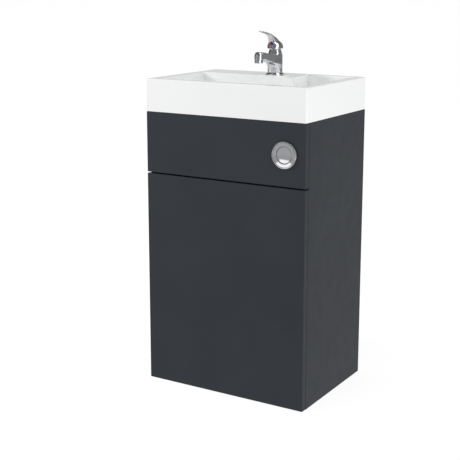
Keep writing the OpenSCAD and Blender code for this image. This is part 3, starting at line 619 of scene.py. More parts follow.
FOCAL, YAW, PITCH, DIST, CAM_X, CAM_Z, SHIFT = 1040.8, 31.486, 11.90, 2971.9, -72.9, 530.2, 0.068
ca, ce = math.radians(YAW), math.radians(PITCH)
c_back = np.array([math.sin(ca) * math.cos(ce), -math.cos(ca) * math.cos(ce), math.sin(ce)])
c_right = np.array([math.cos(ca), math.sin(ca), 0.0])
c_up = np.cross(c_back, c_right)
c_pos = c_back * DIST + c_right * CAM_X + np.array([0, 0, 1.0]) * CAM_Z
cam_data = bpy.data.cameras.new("camera")
cam_data.sensor_width = 36.0
cam_data.lens = FOCAL / 460.0 * 36.0
cam_data.shift_y = -SHIFT
cam_data.clip_end = 2000.0
cam = bpy.data.objects.new("camera", cam_data)
scene.collection.objects.link(cam)
m4 = np.eye(4)
m4[:3, 0], m4[:3, 1], m4[:3, 2], m4[:3, 3] = c_right, c_up, c_back, c_pos * MM
cam.matrix_world = Matrix(m4.tolist())
scene.camera = cam
scene.view_settings.view_transform = "Standard"
scene.view_settings.look = "None"

world = bpy.data.worlds.new("studio")
world.use_nodes = True
scene.world = world
g = Graph(world.node_tree)
w_out = g.new("ShaderNodeOutputWorld")
path = g.new("ShaderNodeLightPath")
d = g.coords("Generated")
dx, dy, dz = g.sep(d)[:3]
# soft light for matt surfaces: most from the right, less from above
soft = g.math("ADD", g.math("ADD", g.math("MULTIPLY", dx, 0.60), g.math("MULTIPLY", dy, -0.05)), g.math("MULTIPLY", dz, -0.12))
soft = g.math("ADD", soft, 0.885)


def window(az, half, z0, z1, edge=0.05):
    """1 inside an upright soft box seen at azimuth az (0 is the front, 90 the right side), 0 outside"""
    a = math.radians(az)
    f = g.vmath("DOT_PRODUCT", d, (math.sin(a), -math.cos(a), 0.0))
    s = g.math("ABSOLUTE", g.vmath("DOT_PRODUCT", d, (math.cos(a), math.sin(a), 0.0)))
    k = math.tan(math.radians(half))
    side = g.ramp(g.math("SUBTRACT", g.math("MULTIPLY", f, k), s), 0.0, edge)
    return g.math("MULTIPLY", side, g.math("MULTIPLY", g.ramp(dz, z0, z0 + edge), g.ramp(dz, z1 - edge, z1, 1.0, 0.0)))


# what shiny surfaces see: a grey room with a dark ceiling, pale behind, soft boxes at the right and at the front left,
# the right one a long strip that goes on over the ceiling
behind = g.ramp(g.vmath("DOT_PRODUCT", g.vmath("NORMALIZE", g.scaled(d, (1.0, 1.0, 0.0))), (-0.4848, 0.8746, 0.0)), 0.88, 0.95)
low = g.ramp(dz, -0.16, -0.05, 0.47, 0.235)
high = g.ramp(dz, 0.35, 0.72, 0.235, 0.06)
fore = g.ramp(g.vmath("DOT_PRODUCT", d, (0.0, 1.0, 0.0)), -0.15, 0.0, 1.0, 0.0)
high = g.math("ADD", high, g.math("MULTIPLY", fore, g.ramp(dz, 0.35, 0.72, 0.0, 0.14)))
gloss = g.math("ADD", g.math("MULTIPLY", g.math("LESS_THAN", dz, -0.05), low), g.math("MULTIPLY", g.math("GREATER_THAN", dz, -0.05), high))
rear = g.math("MULTIPLY", behind, g.math("MULTIPLY", g.ramp(dz, -0.02, 0.035), g.ramp(dz, 0.30, 0.42, 1.0, 0.0)))
gloss = g.math("ADD", gloss, g.math("MULTIPLY", rear, 0.55))
strip = g.math("ABSOLUTE", g.vmath("DOT_PRODUCT", d, (-0.3848, -0.8642, 0.3255)))
strip = g.math("ADD", strip, g.math("MULTIPLY", g.ramp(dz, 0.10, 0.25, 0.0, 0.08), g.ramp(dz, 0.66, 0.76, 1.0, 0.0)))
strip = g.ramp(strip, 0.245, 0.285, 1.0, 0.0)
strip = g.math("MULTIPLY", strip, g.ramp(g.vmath("DOT_PRODUCT", d, (0.914, -0.407, 0.0)), -0.2, -0.1))
strip = g.math("MULTIPLY", strip, g.ramp(dz, -0.5, -0.4))
for mask, level in ((window(-29, 18, -0.14, 0.15, 0.04), 0.43), (window(-28.5, 12.0, -0.035, 0.165, 0.03), 1.3), (window(-92, 18, 0.0, 0.60), 0.08), (strip, 2.2)):
    gloss = g.math("ADD", g.math("MULTIPLY", gloss, g.math("SUBTRACT", 1.0, mask)), g.math("MULTIPLY", mask, level))
value = g.new("ShaderNodeMix", data_type="FLOAT")
g.put(value.inputs[0], path.outputs["Is Glossy Ray"])
g.put(value.inputs[2], soft)
g.put(value.inputs[3], gloss)
seen = g.new("ShaderNodeMix", data_type="FLOAT")
g.put(seen.inputs[0], path.outputs["Is Camera Ray"])
g.put(seen.inputs[2], value.outputs[0])
seen.inputs[3].default_value = 1.24
bg = g.new("ShaderNodeBackground")
g.put(bg.inputs["Strength"], seen.outputs[0])
g.t.links.new(bg.outputs[0], w_out.inputs[0])


def area(name, az, el, dist, size, watts, aim=(0.0, 0.0, 0.6)):
    a, e = math.radians(az), math.radians(el)
    back = Vector((math.sin(a) * math.cos(e), -math.cos(a) * math.cos(e), math.sin(e)))
    li = bpy.data.lights.new(name, "AREA")
    li.shape = "RECTANGLE"
    li.size, li.size_y = size
    li.energy = watts
    ob = bpy.data.objects.new(name, li)
    scene.collection.objects.link(ob)
    ob.matrix_world = Matrix.Translation(Vector(aim) + back * dist) @ back.to_track_quat("Z", "Y").to_matrix().to_4x4()
    ob.visible_glossy = False
    return ob


area("key_right", 72, 22, 4.2, (1.8, 2.4), 23)
area("fill_front", -20, 35, 4.6, (2.2, 2.2), 18)
area("side_left", -58, 27, 4.0, (0.30, 0.30), 62)

floor_me = bpy.data.meshes.new("floor")
radius, segs = 450.0, 96
fv = [(0, 0, 0)] + [(rr * math.cos(2 * math.pi * k / segs), rr * math.sin(2 * math.pi * k / segs), 0) for rr in (1.5, 6, radius) for k in range(segs)]
ff = [(0, 1 + k, 1 + (k + 1) % segs) for k in range(segs)]
for a in (0, 1):
    ff += [(1 + a * segs + k, 1 + (a + 1) * segs + k, 1 + (a + 1) * segs + (k + 1) % segs, 1 + a * segs + (k + 1) % segs) for k in range(segs)]
floor_me.from_pydata(fv, [], ff)
floor = bpy.data.objects.new("floor", floor_me)
scene.collection.objects.link(floor)
fm = bpy.data.materials.new("pale_floor")
fm.use_nodes = True
g = Graph(fm.node_tree)
f_out = g.new("ShaderNodeOutputMaterial")
f_dif = g.new("ShaderNodeBsdfDiffuse")
f_emi = g.new("ShaderNodeEmission")
f_add = g.new("ShaderNodeAddShader")
g.put(f_dif.inputs["Color"], g.mix(g.noise(g.coords(), 3.0), (0.30, 0.30, 0.30), (0.31, 0.31, 0.31)))
f_emi.inputs["Strength"].default_value = 0.80
g.t.links.new(f_dif.outputs[0], f_add.inputs[0])
g.t.links.new(f_emi.outputs[0], f_add.inputs[1])
g.t.links.new(f_add.outputs[0], f_out.inputs[0])
floor_me.materials.append(fm)
floor.visible_diffuse = False
floor.visible_glossy = False
floor.visible_transmission = False
floor.visible_shadow = False


# ---------------------------------------------------------------- cabinet

def boards(name, boxes, mats, body, replaces, bevel=0.8, edge=None, cutters=()):
    """Boards in one piece. edge(normal) says whether a face is a bare chipboard edge."""
    v, f, _ = join(*[slab(*b, bevel=bevel) for b in boxes])
    ids = None
    if edge:
        a = np.asarray(v)
        ids = []
        for q in f:
            p = a[list(q)]
            nrm = np.cross(p[1] - p[0], p[2] - p[1])
            nrm = nrm / max(np.linalg.norm(nrm), 1e-9)
            ids.append(1 if edge(nrm, p.mean(0)) else 0)
    return put(name, v, f, mats, body, replaces, sharp=40.0, ids=ids)


for s, side in ((-1, "left"), (1, "right")):
    x0, x1 = (XI, HW) if s > 0 else (-HW, -XI)
    boards("side_panel_" + side + "_board", [(x0, x1, YS, YB, 0, CAB)], [MAT["panel"], MAT["chip"]], "cabinet",
           "side_panel_" + side, edge=lambda n, c: abs(n[1]) > 0.99 and c[1] > 100 or n[2] < -0.99)
Z_GAP = 613.5
upper = temp("upper_front_board", *slab(-HW, HW, YF, YF + 19, Z_GAP, CAB - 0.6, bevel=1.0))
hole = temp("hole", *lathe([(0, -40), (34.6, -40), (34.6, 40), (0, 40)], 96), local=at(BX, YF, BZ) @ Matrix.Rotation(math.pi / 2, 4, "X"))
carve(upper, [hole])
upper.data.materials.append(MAT["panel"])
tidy(upper, 40.0)
dress(upper, "cabinet", "upper_front_panel")
boards("lower_front_board", [(-HW, HW, YF, YF + 19, 1, 609.5)], [MAT["panel"]], "lower_panel", "lower_front_panel", bevel=1.0)

RAILS = {
    "top_front_rail": (YS, 766, 80, 18, 1), "top_back_rail": (YB - 18, 704, 18, 80, 0),
    "mid_front_rail": (YS, 602.5, 60, 18, 1), "cistern_rail": (YB - 18, 560, 18, 80, 0),
    "bottom_front_rail": (YS, 0, 18, 80, 0), "bottom_back_rail": (YB - 18, 0, 18, 70, 0),
}
for name, (y0, z0, dy, dz_, flat) in RAILS.items():
    ob = temp(name + "_board", *slab(-XI, XI, y0, y0 + dy, z0, z0 + dz_, bevel=0.4, segs=2))
    cuts = []
    for s in (-1, 1):
        if flat:
            cuts.append(temp("pocket", *lathe([(0, -1), (7.6, -1), (7.6, 13.6), (0, 13.6)], 32), local=at(s * (XI - 34), y0 + dy / 2, z0)))
        else:
            cuts.append(temp("pocket", *lathe([(0, -1), (7.6, -1), (7.6, 13.6), (0, 13.6)], 32),
                             local=at(s * (XI - 34), y0, z0 + dz_ / 2) @ Matrix.Rotation(-math.pi / 2, 4, "X")))
    if name == "top_back_rail":
        for x in (-150, 150):
            cuts.append(temp("screw_hole", *lathe([(0, -2), (4, -2), (4, 20), (0, 20)], 32), local=at(x, y0, 744) @ Matrix.Rotation(-math.pi / 2, 4, "X")))
    carve(ob, cuts)
    ob.data.materials.append(MAT["board"])
    ob.data.materials.append(MAT["chip"])
    tidy(ob, 40.0)
    for p in ob.data.polygons:
        n = p.normal
        long_edge = abs(n[1]) > 0.99 if flat else abs(n[2]) > 0.99
        front_edge = flat and n[1] < -0.99
        inside_cut = p.area < 0.0004 and not long_edge
        p.material_index = 1 if (long_edge and not front_edge) or (inside_cut and abs(n[0]) < 0.999 and p.area < 0.0002 and p.area > 2e-6 and len(p.vertices) == 4) else 0
    dress(ob, "cabinet", name)


# ---------------------------------------------------------------- basin

def basin_piece():
    x0, x1, y0, y1 = -HW + 24, HW - 24, YF + 25, YB - 20
    yl, xe = YB - 104, 76.0
    n = 6

    def bowl(dd):
        """Outline of the bowl moved inwards by dd"""
        r, s = max(4 - dd, 1.5), max(4.2 + dd, 0.5)
        a0, b0, a1, b1 = x0 + dd, y0 + dd, x1 - dd, y1 - dd
        l, e_ = yl - dd, xe + dd
        return round_poly([(a1, b1, r), (e_, b1, r), (e_, l, s), (a0, l, r), (a0, b0, r), (a1, b0, r)], n)
    loops = []
    # outer shell from the underside up and over the rim
    def outer(dd, z):
        return [(x, y, z) for x, y in ring_rect(-HW + dd, YF + dd, HW - dd, YB - dd, max(4 - dd, 0.8), 6)]
    out = [outer(0.8, CAB), outer(0.2, CAB + 0.3), outer(0, CAB + 1)]
    R = 3.2
    for k in range(7):
        t = k / 6 * math.pi / 2
        out.append(outer(R * (1 - math.cos(t)), TOP - R + R * math.sin(t)))
    # inner side from the rim down to the floor
    inn = []
    for k in range(7):
        t = k / 6 * math.pi / 2
        inn.append([(x, y, TOP - R + R * math.cos(t)) for x, y in bowl(-R + R * math.sin(t))])
    F = 10.0
    for k in range(9):
        t = k / 8 * math.pi / 2
        zz = BF + 2.6 + F - F * math.sin(t)
        inn.append([(x, y, zz) for x, y in bowl(1.8 + F * (1 - math.cos(t)))])
    verts, faces = [], []

    def add(loop):
        i = len(verts)
        verts.extend(loop)
        return list(range(i, i + len(loop)))

    def band(a, b):
        m = len(a)
        for k in range(m):
            j = (k + 1) % m
            faces.append((a[k], a[j], b[j], b[k]))
    o_ids = [add(l) for l in out]
    for a, b in zip(o_ids, o_ids[1:]):
        band(a, b)
    i_ids = [add(l) for l in inn]
    for a, b in zip(i_ids, i_ids[1:]):
        band(a, b)

    def circle(cx, cy, r, z, m=48):
        return [(cx + r * math.cos(2 * math.pi * k / m), cy + r * math.sin(2 * math.pi * k / m), z) for k in range(m)]

    def fill(rims, extra, height):
        """Triangles between an outer rim and its holes; extra points get their height from height(x, y)"""
        pts, ids, edges = [], [], []
        for rim in rims:
            i = len(pts)
            pts += [Vector(verts[k][:2]) for k in rim]
            ids += rim
            edges += [(i + k, i + (k + 1) % len(rim)) for k in range(len(rim))]
        for x, y in extra:
            pts.append(Vector((x, y)))
            ids.append(len(verts))
            verts.append((x, y, height(x, y)))
        ov, _, of_, src, _, _ = delaunay_2d_cdt(pts, edges, [], 0, 1e-5)
        polys = [np.array([verts[k][:2] for k in rim]) for rim in rims]

        def inside(p, poly):
            a, b = poly, np.roll(poly, -1, 0)
            hit = ((a[:, 1] > p[1]) != (b[:, 1] > p[1])) & (p[0] < (b[:, 0] - a[:, 0]) * (p[1] - a[:, 1]) / (b[:, 1] - a[:, 1] + 1e-12) + a[:, 0])
            return hit.sum() % 2 == 1
        for f in of_:
            q = [ids[src[k][0]] for k in f]
            c = np.mean([verts[k][:2] for k in q], 0)
            if inside(c, polys[0]) and not any(inside(c, h) for h in polys[1:]):
                faces.append(tuple(q))
    # flat top: rims and tap ledge, with the tap hole
    tap_hole = add(circle(TX, TY, 17.5, TOP))
    fill([o_ids[-1], i_ids[0], tap_hole], [], lambda x, y: TOP)
    # floor of the bowl, falling to the waste
    waste = add(circle(WX, WY, 22.5, BF))

    def fall(x, y):
        t = min(1.0, max(0.0, (math.hypot(x - WX, y - WY) - 34) / 200.0))
        return BF + 2.6 * (t * t * (3 - 2 * t))
    grid = []
    inner_poly = np.array([verts[k][:2] for k in i_ids[-1]])

    def clear(x, y, gap):
        dd = np.hypot(inner_poly[:, 0] - x, inner_poly[:, 1] - y).min()
        return dd > gap
    for r_, m in ((26, 36), (33, 36), (45, 36), (62, 36), (84, 36)):
        grid += [(WX + r_ * math.cos(2 * math.pi * k / m), WY + r_ * math.sin(2 * math.pi * k / m)) for k in range(m)]
    for gx in np.arange(x0 + 24, x1 - 14, 17.0):
        for gy in np.arange(y0 + 22, y1 - 14, 17.0):
            if math.hypot(gx - WX, gy - WY) > 96:
                grid.append((float(gx), float(gy)))
    in_x1, in_y1 = x1 - 17, y1 - 17
    grid = [(x, y) for x, y in grid if x0 + 17 < x < in_x1 and y0 + 17 < y < in_y1 and (y < yl - 17 or x > xe + 17) and clear(x, y, 6)]
    fill([i_ids[-1], waste], grid, fall)
    waste_low = add(circle(WX, WY, 22.5, CAB))
    tap_low = add(circle(TX, TY, 17.5, CAB))
    band(waste, waste_low)
    band(tap_hole, tap_low)
    fill([o_ids[0], waste_low, tap_low], [], lambda x, y: CAB)
    ob = temp("basin_body", verts, faces)
    cuts = []
    for (a0, b0, a1, b1), z in (((-HW + 12, YF + 12, HW - 12, YB - 12), BF - 10), ((-HW + 12, YB - 94, 66, YB - 12), TOP - 10)):
        prof = [[(x, y, zz) for x, y in ring_rect(a0 + k, b0 + k, a1 - k, b1 - k, 8, 4)] for k, zz in ((0, CAB - 5), (0, z - 3), (3, z))]
        cuts.append(temp("under", *stack(prof)))
    carve(ob, cuts)
    ob.data.materials.append(MAT["glaze"])
    ob.data.materials.append(MAT["biscuit"])
    tidy(ob, 38.0)
    for p in ob.data.polygons:
        c = p.center
        if p.normal[2] < -0.5 or (c[2] < (TOP - 8) * MM and abs(p.normal[2]) < 0.6 and abs(c[0]) < (HW - 11) * MM and (YF + 11) * MM < c[1] < (YB - 11) * MM
                                  and c[2] < (BF - 8) * MM):
            p.material_index = 1
    return dress(ob, "cabinet", "basin")


basin_piece()

# waste: flange and plug cap; the seal and back nut keep their CAD shapes
waste_at = at(WX, WY, 0)
v, f = lathe(round_poly([(17.6, BF - 74), (21.2, BF - 74), (21.2, BF + 0.2), (31.6, BF + 0.2, 0.4), (32, BF + 0.9, 0.6), (30.6, BF + 2.6, 1.5), (24, BF + 2.2, 3), (19.4, BF - 1.0, 2), (17.6, BF - 4)], 5))
guide, gf = lathe(round_poly([(4.1, BF - 26), (6.5, BF - 26, 0.6), (6.5, BF - 12, 0.6), (4.1, BF - 12)], 3), 48)
ribs = []
for k in range(3):
    ribs.append(moved(slab(6, 18, -1, 1, BF - 26, BF - 16, bevel=0.4), Matrix.Rotation(k * 2 * math.pi / 3, 4, "Z")))
v, f, _ = join((v, f), (guide, gf), *ribs)
put("waste_flange_ring", v, f, MAT["chrome"], "cabinet", "waste_flange", local=waste_at)
v, f = lathe(round_poly([(0, BF - 34), (3.6, BF - 34, 0.8), (4, BF - 33), (4, BF + 2.7), (24.6, BF + 2.7, 0.8), (26, BF + 4.2, 1.2), (24.6, BF + 6.0, 3), (17.5, BF + 7.1, 6), (0, BF + 7.2)], 6, closed=False))
put("plug_cap", v, f, MAT["chrome"], "plug", "waste_plug", local=waste_at)


# ---------------------------------------------------------------- tap
# Local frame of the tap: x to the right, y forwards from the axis, z up from the deck
TAP = Matrix(((1, 0, 0, TX), (0, -1, 0, TY), (0, 0, 1, TOP), (0, 0, 0, 1)))
nose_y, nose_r = 92.6, 13.3
s_top = curve([-30, 0, 21, 40, 54, 73, 92, 130], [56.9, 56.9, 57.2, 59.7, 62.2, 65.6, 68.4, 69.0])
s_bot = curve([-30, 7, 21, 45, 68, 84, 130], [28.0, 29.0, 31.5, 37.0, 42.6, 46.2, 46.9])
s_wid = curve([-30, 0, 20, 60, 98, 130], [15.5, 15.5, 15.2, 14.0, 13.0, 13.0])


def f_tap_body(x, y, z):
    r = np.hypot(x, y)
    body = i_round(i_round(r - 21.3, z - 57.0, 0.7), 4.6 - z, 0.5)
    top, bot, w = s_top(y), s_bot(y), s_wid(y)
    rc = 3.2
    zc, t = (top + bot) / 2, (top - bot) / 2
    qx, qz = np.abs(x) - (w - rc), np.abs(z - zc) - (t - rc)
    beam = np.hypot(np.maximum(qx, 0), np.maximum(qz, 0)) + np.minimum(np.maximum(qx, qz), 0) - rc
    beam = np.maximum(beam, np.maximum(y - nose_y, 4 - y))
    rn = np.hypot(x, y - nose_y)
    nose = i_round(i_round(rn - nose_r, z - top, 10.5), 46.9 - z, 1.2)
    under = np.clip((47.0 - z) / 15.0, 0, 1)
    f = u_round(body, np.minimum(beam, nose), 5.0 + 9.0 * under * under * (3 - 2 * under))
    f = i_round(f, -np.maximum(r - 22.3, 57.0 - z), 0.5)
    f = i_round(f, -np.maximum(rn - 10.6 + np.maximum(y - nose_y - 200, 0), z - 51.0), 0.4)
    f = i_round(f, -np.maximum(r - 15.0, z - 19.0), 0.4)
    f = i_round(f, -np.maximum(r - 17.6, 25.0 - z), 0.3)
    return f


v, f = skin(f_tap_body, (-24.1, -24.1, 2), (24, 108, 73), 0.78)
put("tap_body_casting", v, f, MAT["chrome"], "cabinet", "tap_body", local=TAP, sharp=48.0, weighted=False)

h_cap = curve([0, 3, 7.4, 14.7, 19, 21.6, 23, 60], [102.0, 101.2, 98.6, 93.2, 88.6, 84.4, 79.0, -110.0])
h_top = curve([-30, -22, -19, -14.7, -7.4, -3, 0, 8, 16, 33, 45, 60, 75, 90, 100],
              [62, 76.0, 84.0, 90.4, 97.6, 101.4, 103.8, 108.4, 112.0, 117.0, 120.0, 122.9, 125.2, 127.0, 127.9])
h_bot = curve([-30, 10, 20, 24, 30, 38, 47, 60, 75, 88, 100], [84, 90, 96.0, 101.5, 109.2, 114.8, 117.7, 120.3, 123.1, 125.2, 126.4])
h_wid = curve([-30, -14, -5, 6, 14, 22, 30, 45, 60, 80, 90, 100], [9, 12.5, 14.0, 13.6, 11.6, 9.6, 8.6, 7.8, 7.2, 6.2, 5.4, 4.5])
h_bow = curve([-30, 16, 38, 60, 90, 100], [3, 2.6, 1.6, 1.0, 0.5, 0.4])


def f_tap_handle(x, y, z):
    r = np.hypot(x, y)
    cap = i_round((z - h_cap(r)) * 0.78, r - 22.4, 1.5)
    top, bot, w = h_top(y), h_bot(y), h_wid(y)
    up = np.maximum(z - (top - 13.0), 0)
    neck = ((np.abs(x / w) ** 1.8 + (up / 13.0) ** 1.8) ** (1 / 1.8) - 1) * 12.0
    neck = i_round(neck, r - 22.4, 2.5)
    # the two run into each other at the sides, but not over the top
    low = np.clip((top - 4.0 - z) / 9.0, 0, 1)
    low = low * low * (3 - 2 * low)
    cap = u_round(cap, neck, 1.0 + 8.0 * low)
    # the lever: a thin blade, bowed across, with a round tip
    root = np.clip((22.0 - y) / 10.0, 0, 1)
    top = top - 2.0 * root
    wt = (w - 3.0 * root) * np.sqrt(np.clip(1 - (np.maximum(y - 82.0, 0) / 7.4) ** 2, 1e-4, 1))
    t = np.maximum((top - bot) / 2, 0.8)
    zc = (top + bot) / 2 - h_bow(y) * np.minimum((x / w) ** 2, 1.3)
    rr = np.minimum(t, wt) * 0.92
    qx, qz = np.abs(x) - wt + rr, np.abs(z - zc) - t + rr
    blade = np.hypot(np.maximum(qx, 0), np.maximum(qz, 0)) + np.minimum(np.maximum(qx, qz), 0) - rr
    blade = np.maximum(np.maximum(blade, 6 - y), y - 89.2)
    f = u_round(cap, blade, 0.6 + 6.4 * low)
    f = i_round(f, 74.0 - z, 0.5)
    f = i_round(f, 20.9 - np.sqrt(r**2 + (z - 63) ** 2), 0.3)
    f = i_round(f, -np.maximum(np.hypot(x, z - 89.0) - 5.15, 20.4 - y), 0.3)
    f = i_round(f, -np.maximum(np.hypot(x, z - 79.5) - 2.2, 8 - y), 0.3)
    return f


v, f = skin(f_tap_handle, (-24.1, -24.1, 72), (24, 92, 133), 0.72)
put("tap_lever_handle", v, f, MAT["chrome"], "tap_lever", "tap_handle", local=TAP, sharp=48.0, weighted=False)

v, f = lathe(round_poly([(16, 0), (27.5, 0, 0.2), (27.5, 1.7, 1.3), (23.4, 4.5, 1.6), (22.2, 4.5, 0.2), (22.2, 4.1), (16, 4.1)], 5))
put("tap_foot_ring", v, f, MAT["chrome"], "cabinet", "tap_base_ring", local=at(TX, TY, TOP))
arc = [(float(curve([58.6, 62, 65, 70, 73, 75.4], [20.2, 19.3, 18.4, 16.9, 16.0, 15.2])(zz)), float(zz)) for zz in np.linspace(58.6, 75.4, 18)]
v, f = lathe(round_poly([(14.2, 57), (19.3, 57), (19.3, 57.9), (20.2, 58.1, 0.3), (20.2, 58.5)], 3, closed=False) + arc + [(14.2, 75.4)])
put("tap_dome", v, f, MAT["chrome"], "cabinet", "tap_dome_nut", local=at(TX, TY, TOP))
v, f = lathe(round_poly([(10, 37.5), (12, 37.5, 0.7), (12, 40.6, 0.2), (11.6, 40.9, 0.2), (11.6, 41.5, 0.2), (12, 41.8, 0.2), (12, 46.9), (10, 46.9)], 3))
put("aerator_sleeve", v, f, MAT["chrome"], "cabinet", "aerator_ring", local=at(TX, TY - 94, TOP))
v, f = lathe(round_poly([(0, 0), (4.7, 0), (5.0, 0.4), (5.0, 1.6, 0.7), (2.5, 2.2, 3), (0, 2.35)], 4, closed=False), 48)
put("index_badge", v, f, MAT["index"], "tap_lever", "tap_index_cap",
    local=at(TX, TY - 20.1, TOP + 89) @ Matrix.Rotation(math.pi / 2, 4, "X"))


# ---------------------------------------------------------------- flush button, local z points out of the front panel
BTN = at(BX, YF, BZ) @ Matrix.Rotation(math.pi / 2, 4, "X")
bez = lathe(round_poly([(33.3, -6), (33.3, 7.05, 0.3), (34.6, 7.2, 0.8), (36.1, 6.4, 1.0), (36.5, 4.6, 0.8), (36.5, 1.6, 0.3), (35.6, 1.3, 0.2), (35.6, 0), (34.3, 0), (34.3, -8), (29, -8), (29, -45), (26.5, -45), (26.5, -6)], 4), 128)
# a black rubber gasket under the bezel, 0.9 mm wider than its rim: a real part that also stands in for painted shade,
# the dark shadow line around the bezel
gasket_and_shadow_ring = lathe(round_poly([(34.4, 0), (37.4, 0, 0.2), (37.4, 1.0, 0.5), (34.4, 1.0)], 3), 128)
v, f, ids = join(bez, gasket_and_shadow_ring)
put("button_bezel", v, f, [MAT["chrome"], MAT["rubber"]], "cabinet", "flush_bezel", ids=ids, local=BTN)
v, f = lathe(round_poly([(22.9, -30), (22.9, 5.4, 0.5), (23.9, 5.95, 0.9), (32.1, 7.1, 0.8), (33.0, 6.5, 0.4), (33.0, 2.2), (26.3, 2.2), (26.3, -30)], 6), 128)
put("button_ring", v, f, MAT["chrome"], "flush_ring", "full_flush_ring", local=BTN)
dish = [(rr, 2.9 + rr * rr / 280.0) for rr in np.linspace(0, 21.2, 14)]
v, f = lathe(dish + round_poly([(21.2, 4.5), (21.8, 4.5, 0.5), (22.0, 3.8, 0.3), (22.0, -1.0), (22.8, -1.4), (22.8, -25), (20.6, -25), (20.6, -0.6), (19.6, 0.6), (0, 0.6)], 5, closed=False), 128)
put("button_centre", v, f, MAT["chrome"], "flush_centre", "half_flush_button", local=BTN)


def spring(name, node, r, z0, z1, turns, flat):
    """A coil spring with closed ends, wound from z0 to z1."""
    wire, n = 0.7, int(turns * 40)
    t = np.linspace(0, turns, n + 1)
    rise = np.clip((t - flat) / (turns - 2 * flat), 0, 1)
    rise = 0.5 * rise + 0.5 * (rise * rise * (3 - 2 * rise)) if flat else rise
    path_ = np.stack([r * np.cos(2 * math.pi * t), r * np.sin(2 * math.pi * t), z0 + wire + (z1 - z0 - 2 * wire) * rise], 1)
    v_, f_, _ = sweep(path_, wire, 12)
    ob = put(name, v_, f_, MAT["zinc"], "cabinet", node, local=BTN, sharp=50.0, weighted=False)
    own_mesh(ob)


spring("ring_return_spring", "full_flush_spring", 24.6, -40.0, -30.0, 2.5, 0.5)
spring("centre_return_spring", "half_flush_spring", 8.5, -40.0, 0.6, 6.0, 0.8)


# ---------------------------------------------------------------- cistern, pipes and hoses

def tank_piece():
    x, y0, y1 = 180.0, YB - 150, YB - 20
    outs = []
    for k in range(6):
        t = k / 5 * math.pi / 2
        outs.append((9 * (1 - math.sin(t)), TANK0 + 9 * (1 - math.cos(t))))
    loops = [[(a, b, z) for a, b in ring_rect(-x + dd, y0 + dd, x - dd, y1 - dd, 8 - dd * 0.4, 8)] for dd, z in outs]
    for dd, z in ((0, 500), (0, 628), (-0, 631), (0, TANK1 - 0.8), (0.6, TANK1), (3.4, TANK1), (4, TANK1 - 0.8)):
        loops.append([(a, b, z) for a, b in ring_rect(-x + dd, y0 + dd, x - dd, y1 - dd, max(8 - dd, 1.5), 8)])
    for k in range(6):
        t = k / 5 * math.pi / 2
        dd = 4 + 6 * (1 - math.cos(t))
        loops.append([(a, b, TANK0 + 10 - 6 * math.sin(t)) for a, b in ring_rect(-x + dd, y0 + dd, x - dd, y1 - dd, max(8 - dd, 1.5), 8)])
    ob = temp("cistern_shell", *stack(loops))
    cuts = []
    for yy, s in ((y1, 1), (y0, -1)):
        for a0, a1 in ((-158, -62), (-48, 48), (62, 158)):
            lo, hi = (yy - 1.6, yy + 4) if s > 0 else (yy - 4, yy + 1.6)
            lp = []
            for dd, depth in ((3.0, 0), (0.8, 0.5), (0, 1.6), (0, 5)):
                yv = yy - s * 1.6 + s * depth
                lp.append([(px, yv, pz) for px, pz in ring_rect(a0 + dd, 384 + dd, a1 - dd, 540 - dd, 14 - dd, 6)])
            cuts.append(temp("panel_cut", *stack(lp)))
    for cx, r in ((0, 29), (-120, 10.7)):
        cuts.append(temp("port", *lathe([(0, -4), (r, -4), (r, 14), (0, 14)], 48), local=at(cx, CY, TANK0)))
    carve(ob, cuts)
    ob.data.materials.append(MAT["cistern"])
    tidy(ob, 38.0)
    return dress(ob, "cabinet", "cistern_tank")


tank_piece()


def lid_piece():
    x, y0, y1, z = 180.0, YB - 150, YB - 20, TANK1
    loops = []
    for dd, zz in ((8.0, z + 0.2), (8.0, z - 6), (5.4, z - 6), (5.0, z - 5.6), (5.0, z), (-2.6, z), (-3.0, z + 0.4), (-3.0, z + 2.6), (-2.4, z + 3.6), (-1.2, z + 4.0), (14, z + 4.0), (15.6, z + 3.2), (17, z + 3.0)):
        by1 = y1 - max(dd, 0)
        loops.append([(a, b, zz) for a, b in ring_rect(-x + dd, y0 + dd, x - dd, by1, max(9 - max(dd, 0) * 0.6, 1.5), 8)])
    ob = temp("cistern_cover_plate", *stack(loops))
    cuts = [temp("hole", *lathe([(0, -8), (4.5, -8), (4.5, 10), (0, 10)], 32), local=at(cx, CY, z)) for cx in (40, 54)]
    carve(ob, cuts)
    ob.data.materials.append(MAT["cistern"])
    tidy(ob, 38.0)
    return dress(ob, "cistern_cover", "cistern_lid")


lid_piece()

# flush pipe: socket, straight run and one bend towards the front
bend = [(0, CY, 344), (0, CY, 330), (0, CY, 311)]
bend += [(0, CY - 38 * (1 - math.cos(t)), 310 - 38 * math.sin(t)) for t in np.linspace(0, math.pi / 2, 20)]
bend += [(0, yy, 272) for yy in np.linspace(CY - 40, YF + 33, 12)]
v, f, _ = sweep([p for p in bend if p[2] <= 311], 22, 40, 19.5)
sock = lathe(round_poly([(19.5, 310), (34, 310, 3), (34, 340, 0.2), (35.2, 341, 0.4), (35.2, 344.4, 0.5), (28.2, 345), (28.2, 320), (19.5, 320)], 4), 64)
sock = moved(sock, at(0, CY, 0))
v, f, _ = join((v, f), sock)
put("flush_pipe_bend", v, f, MAT["white"], "cabinet", "flush_pipe", sharp=38.0)

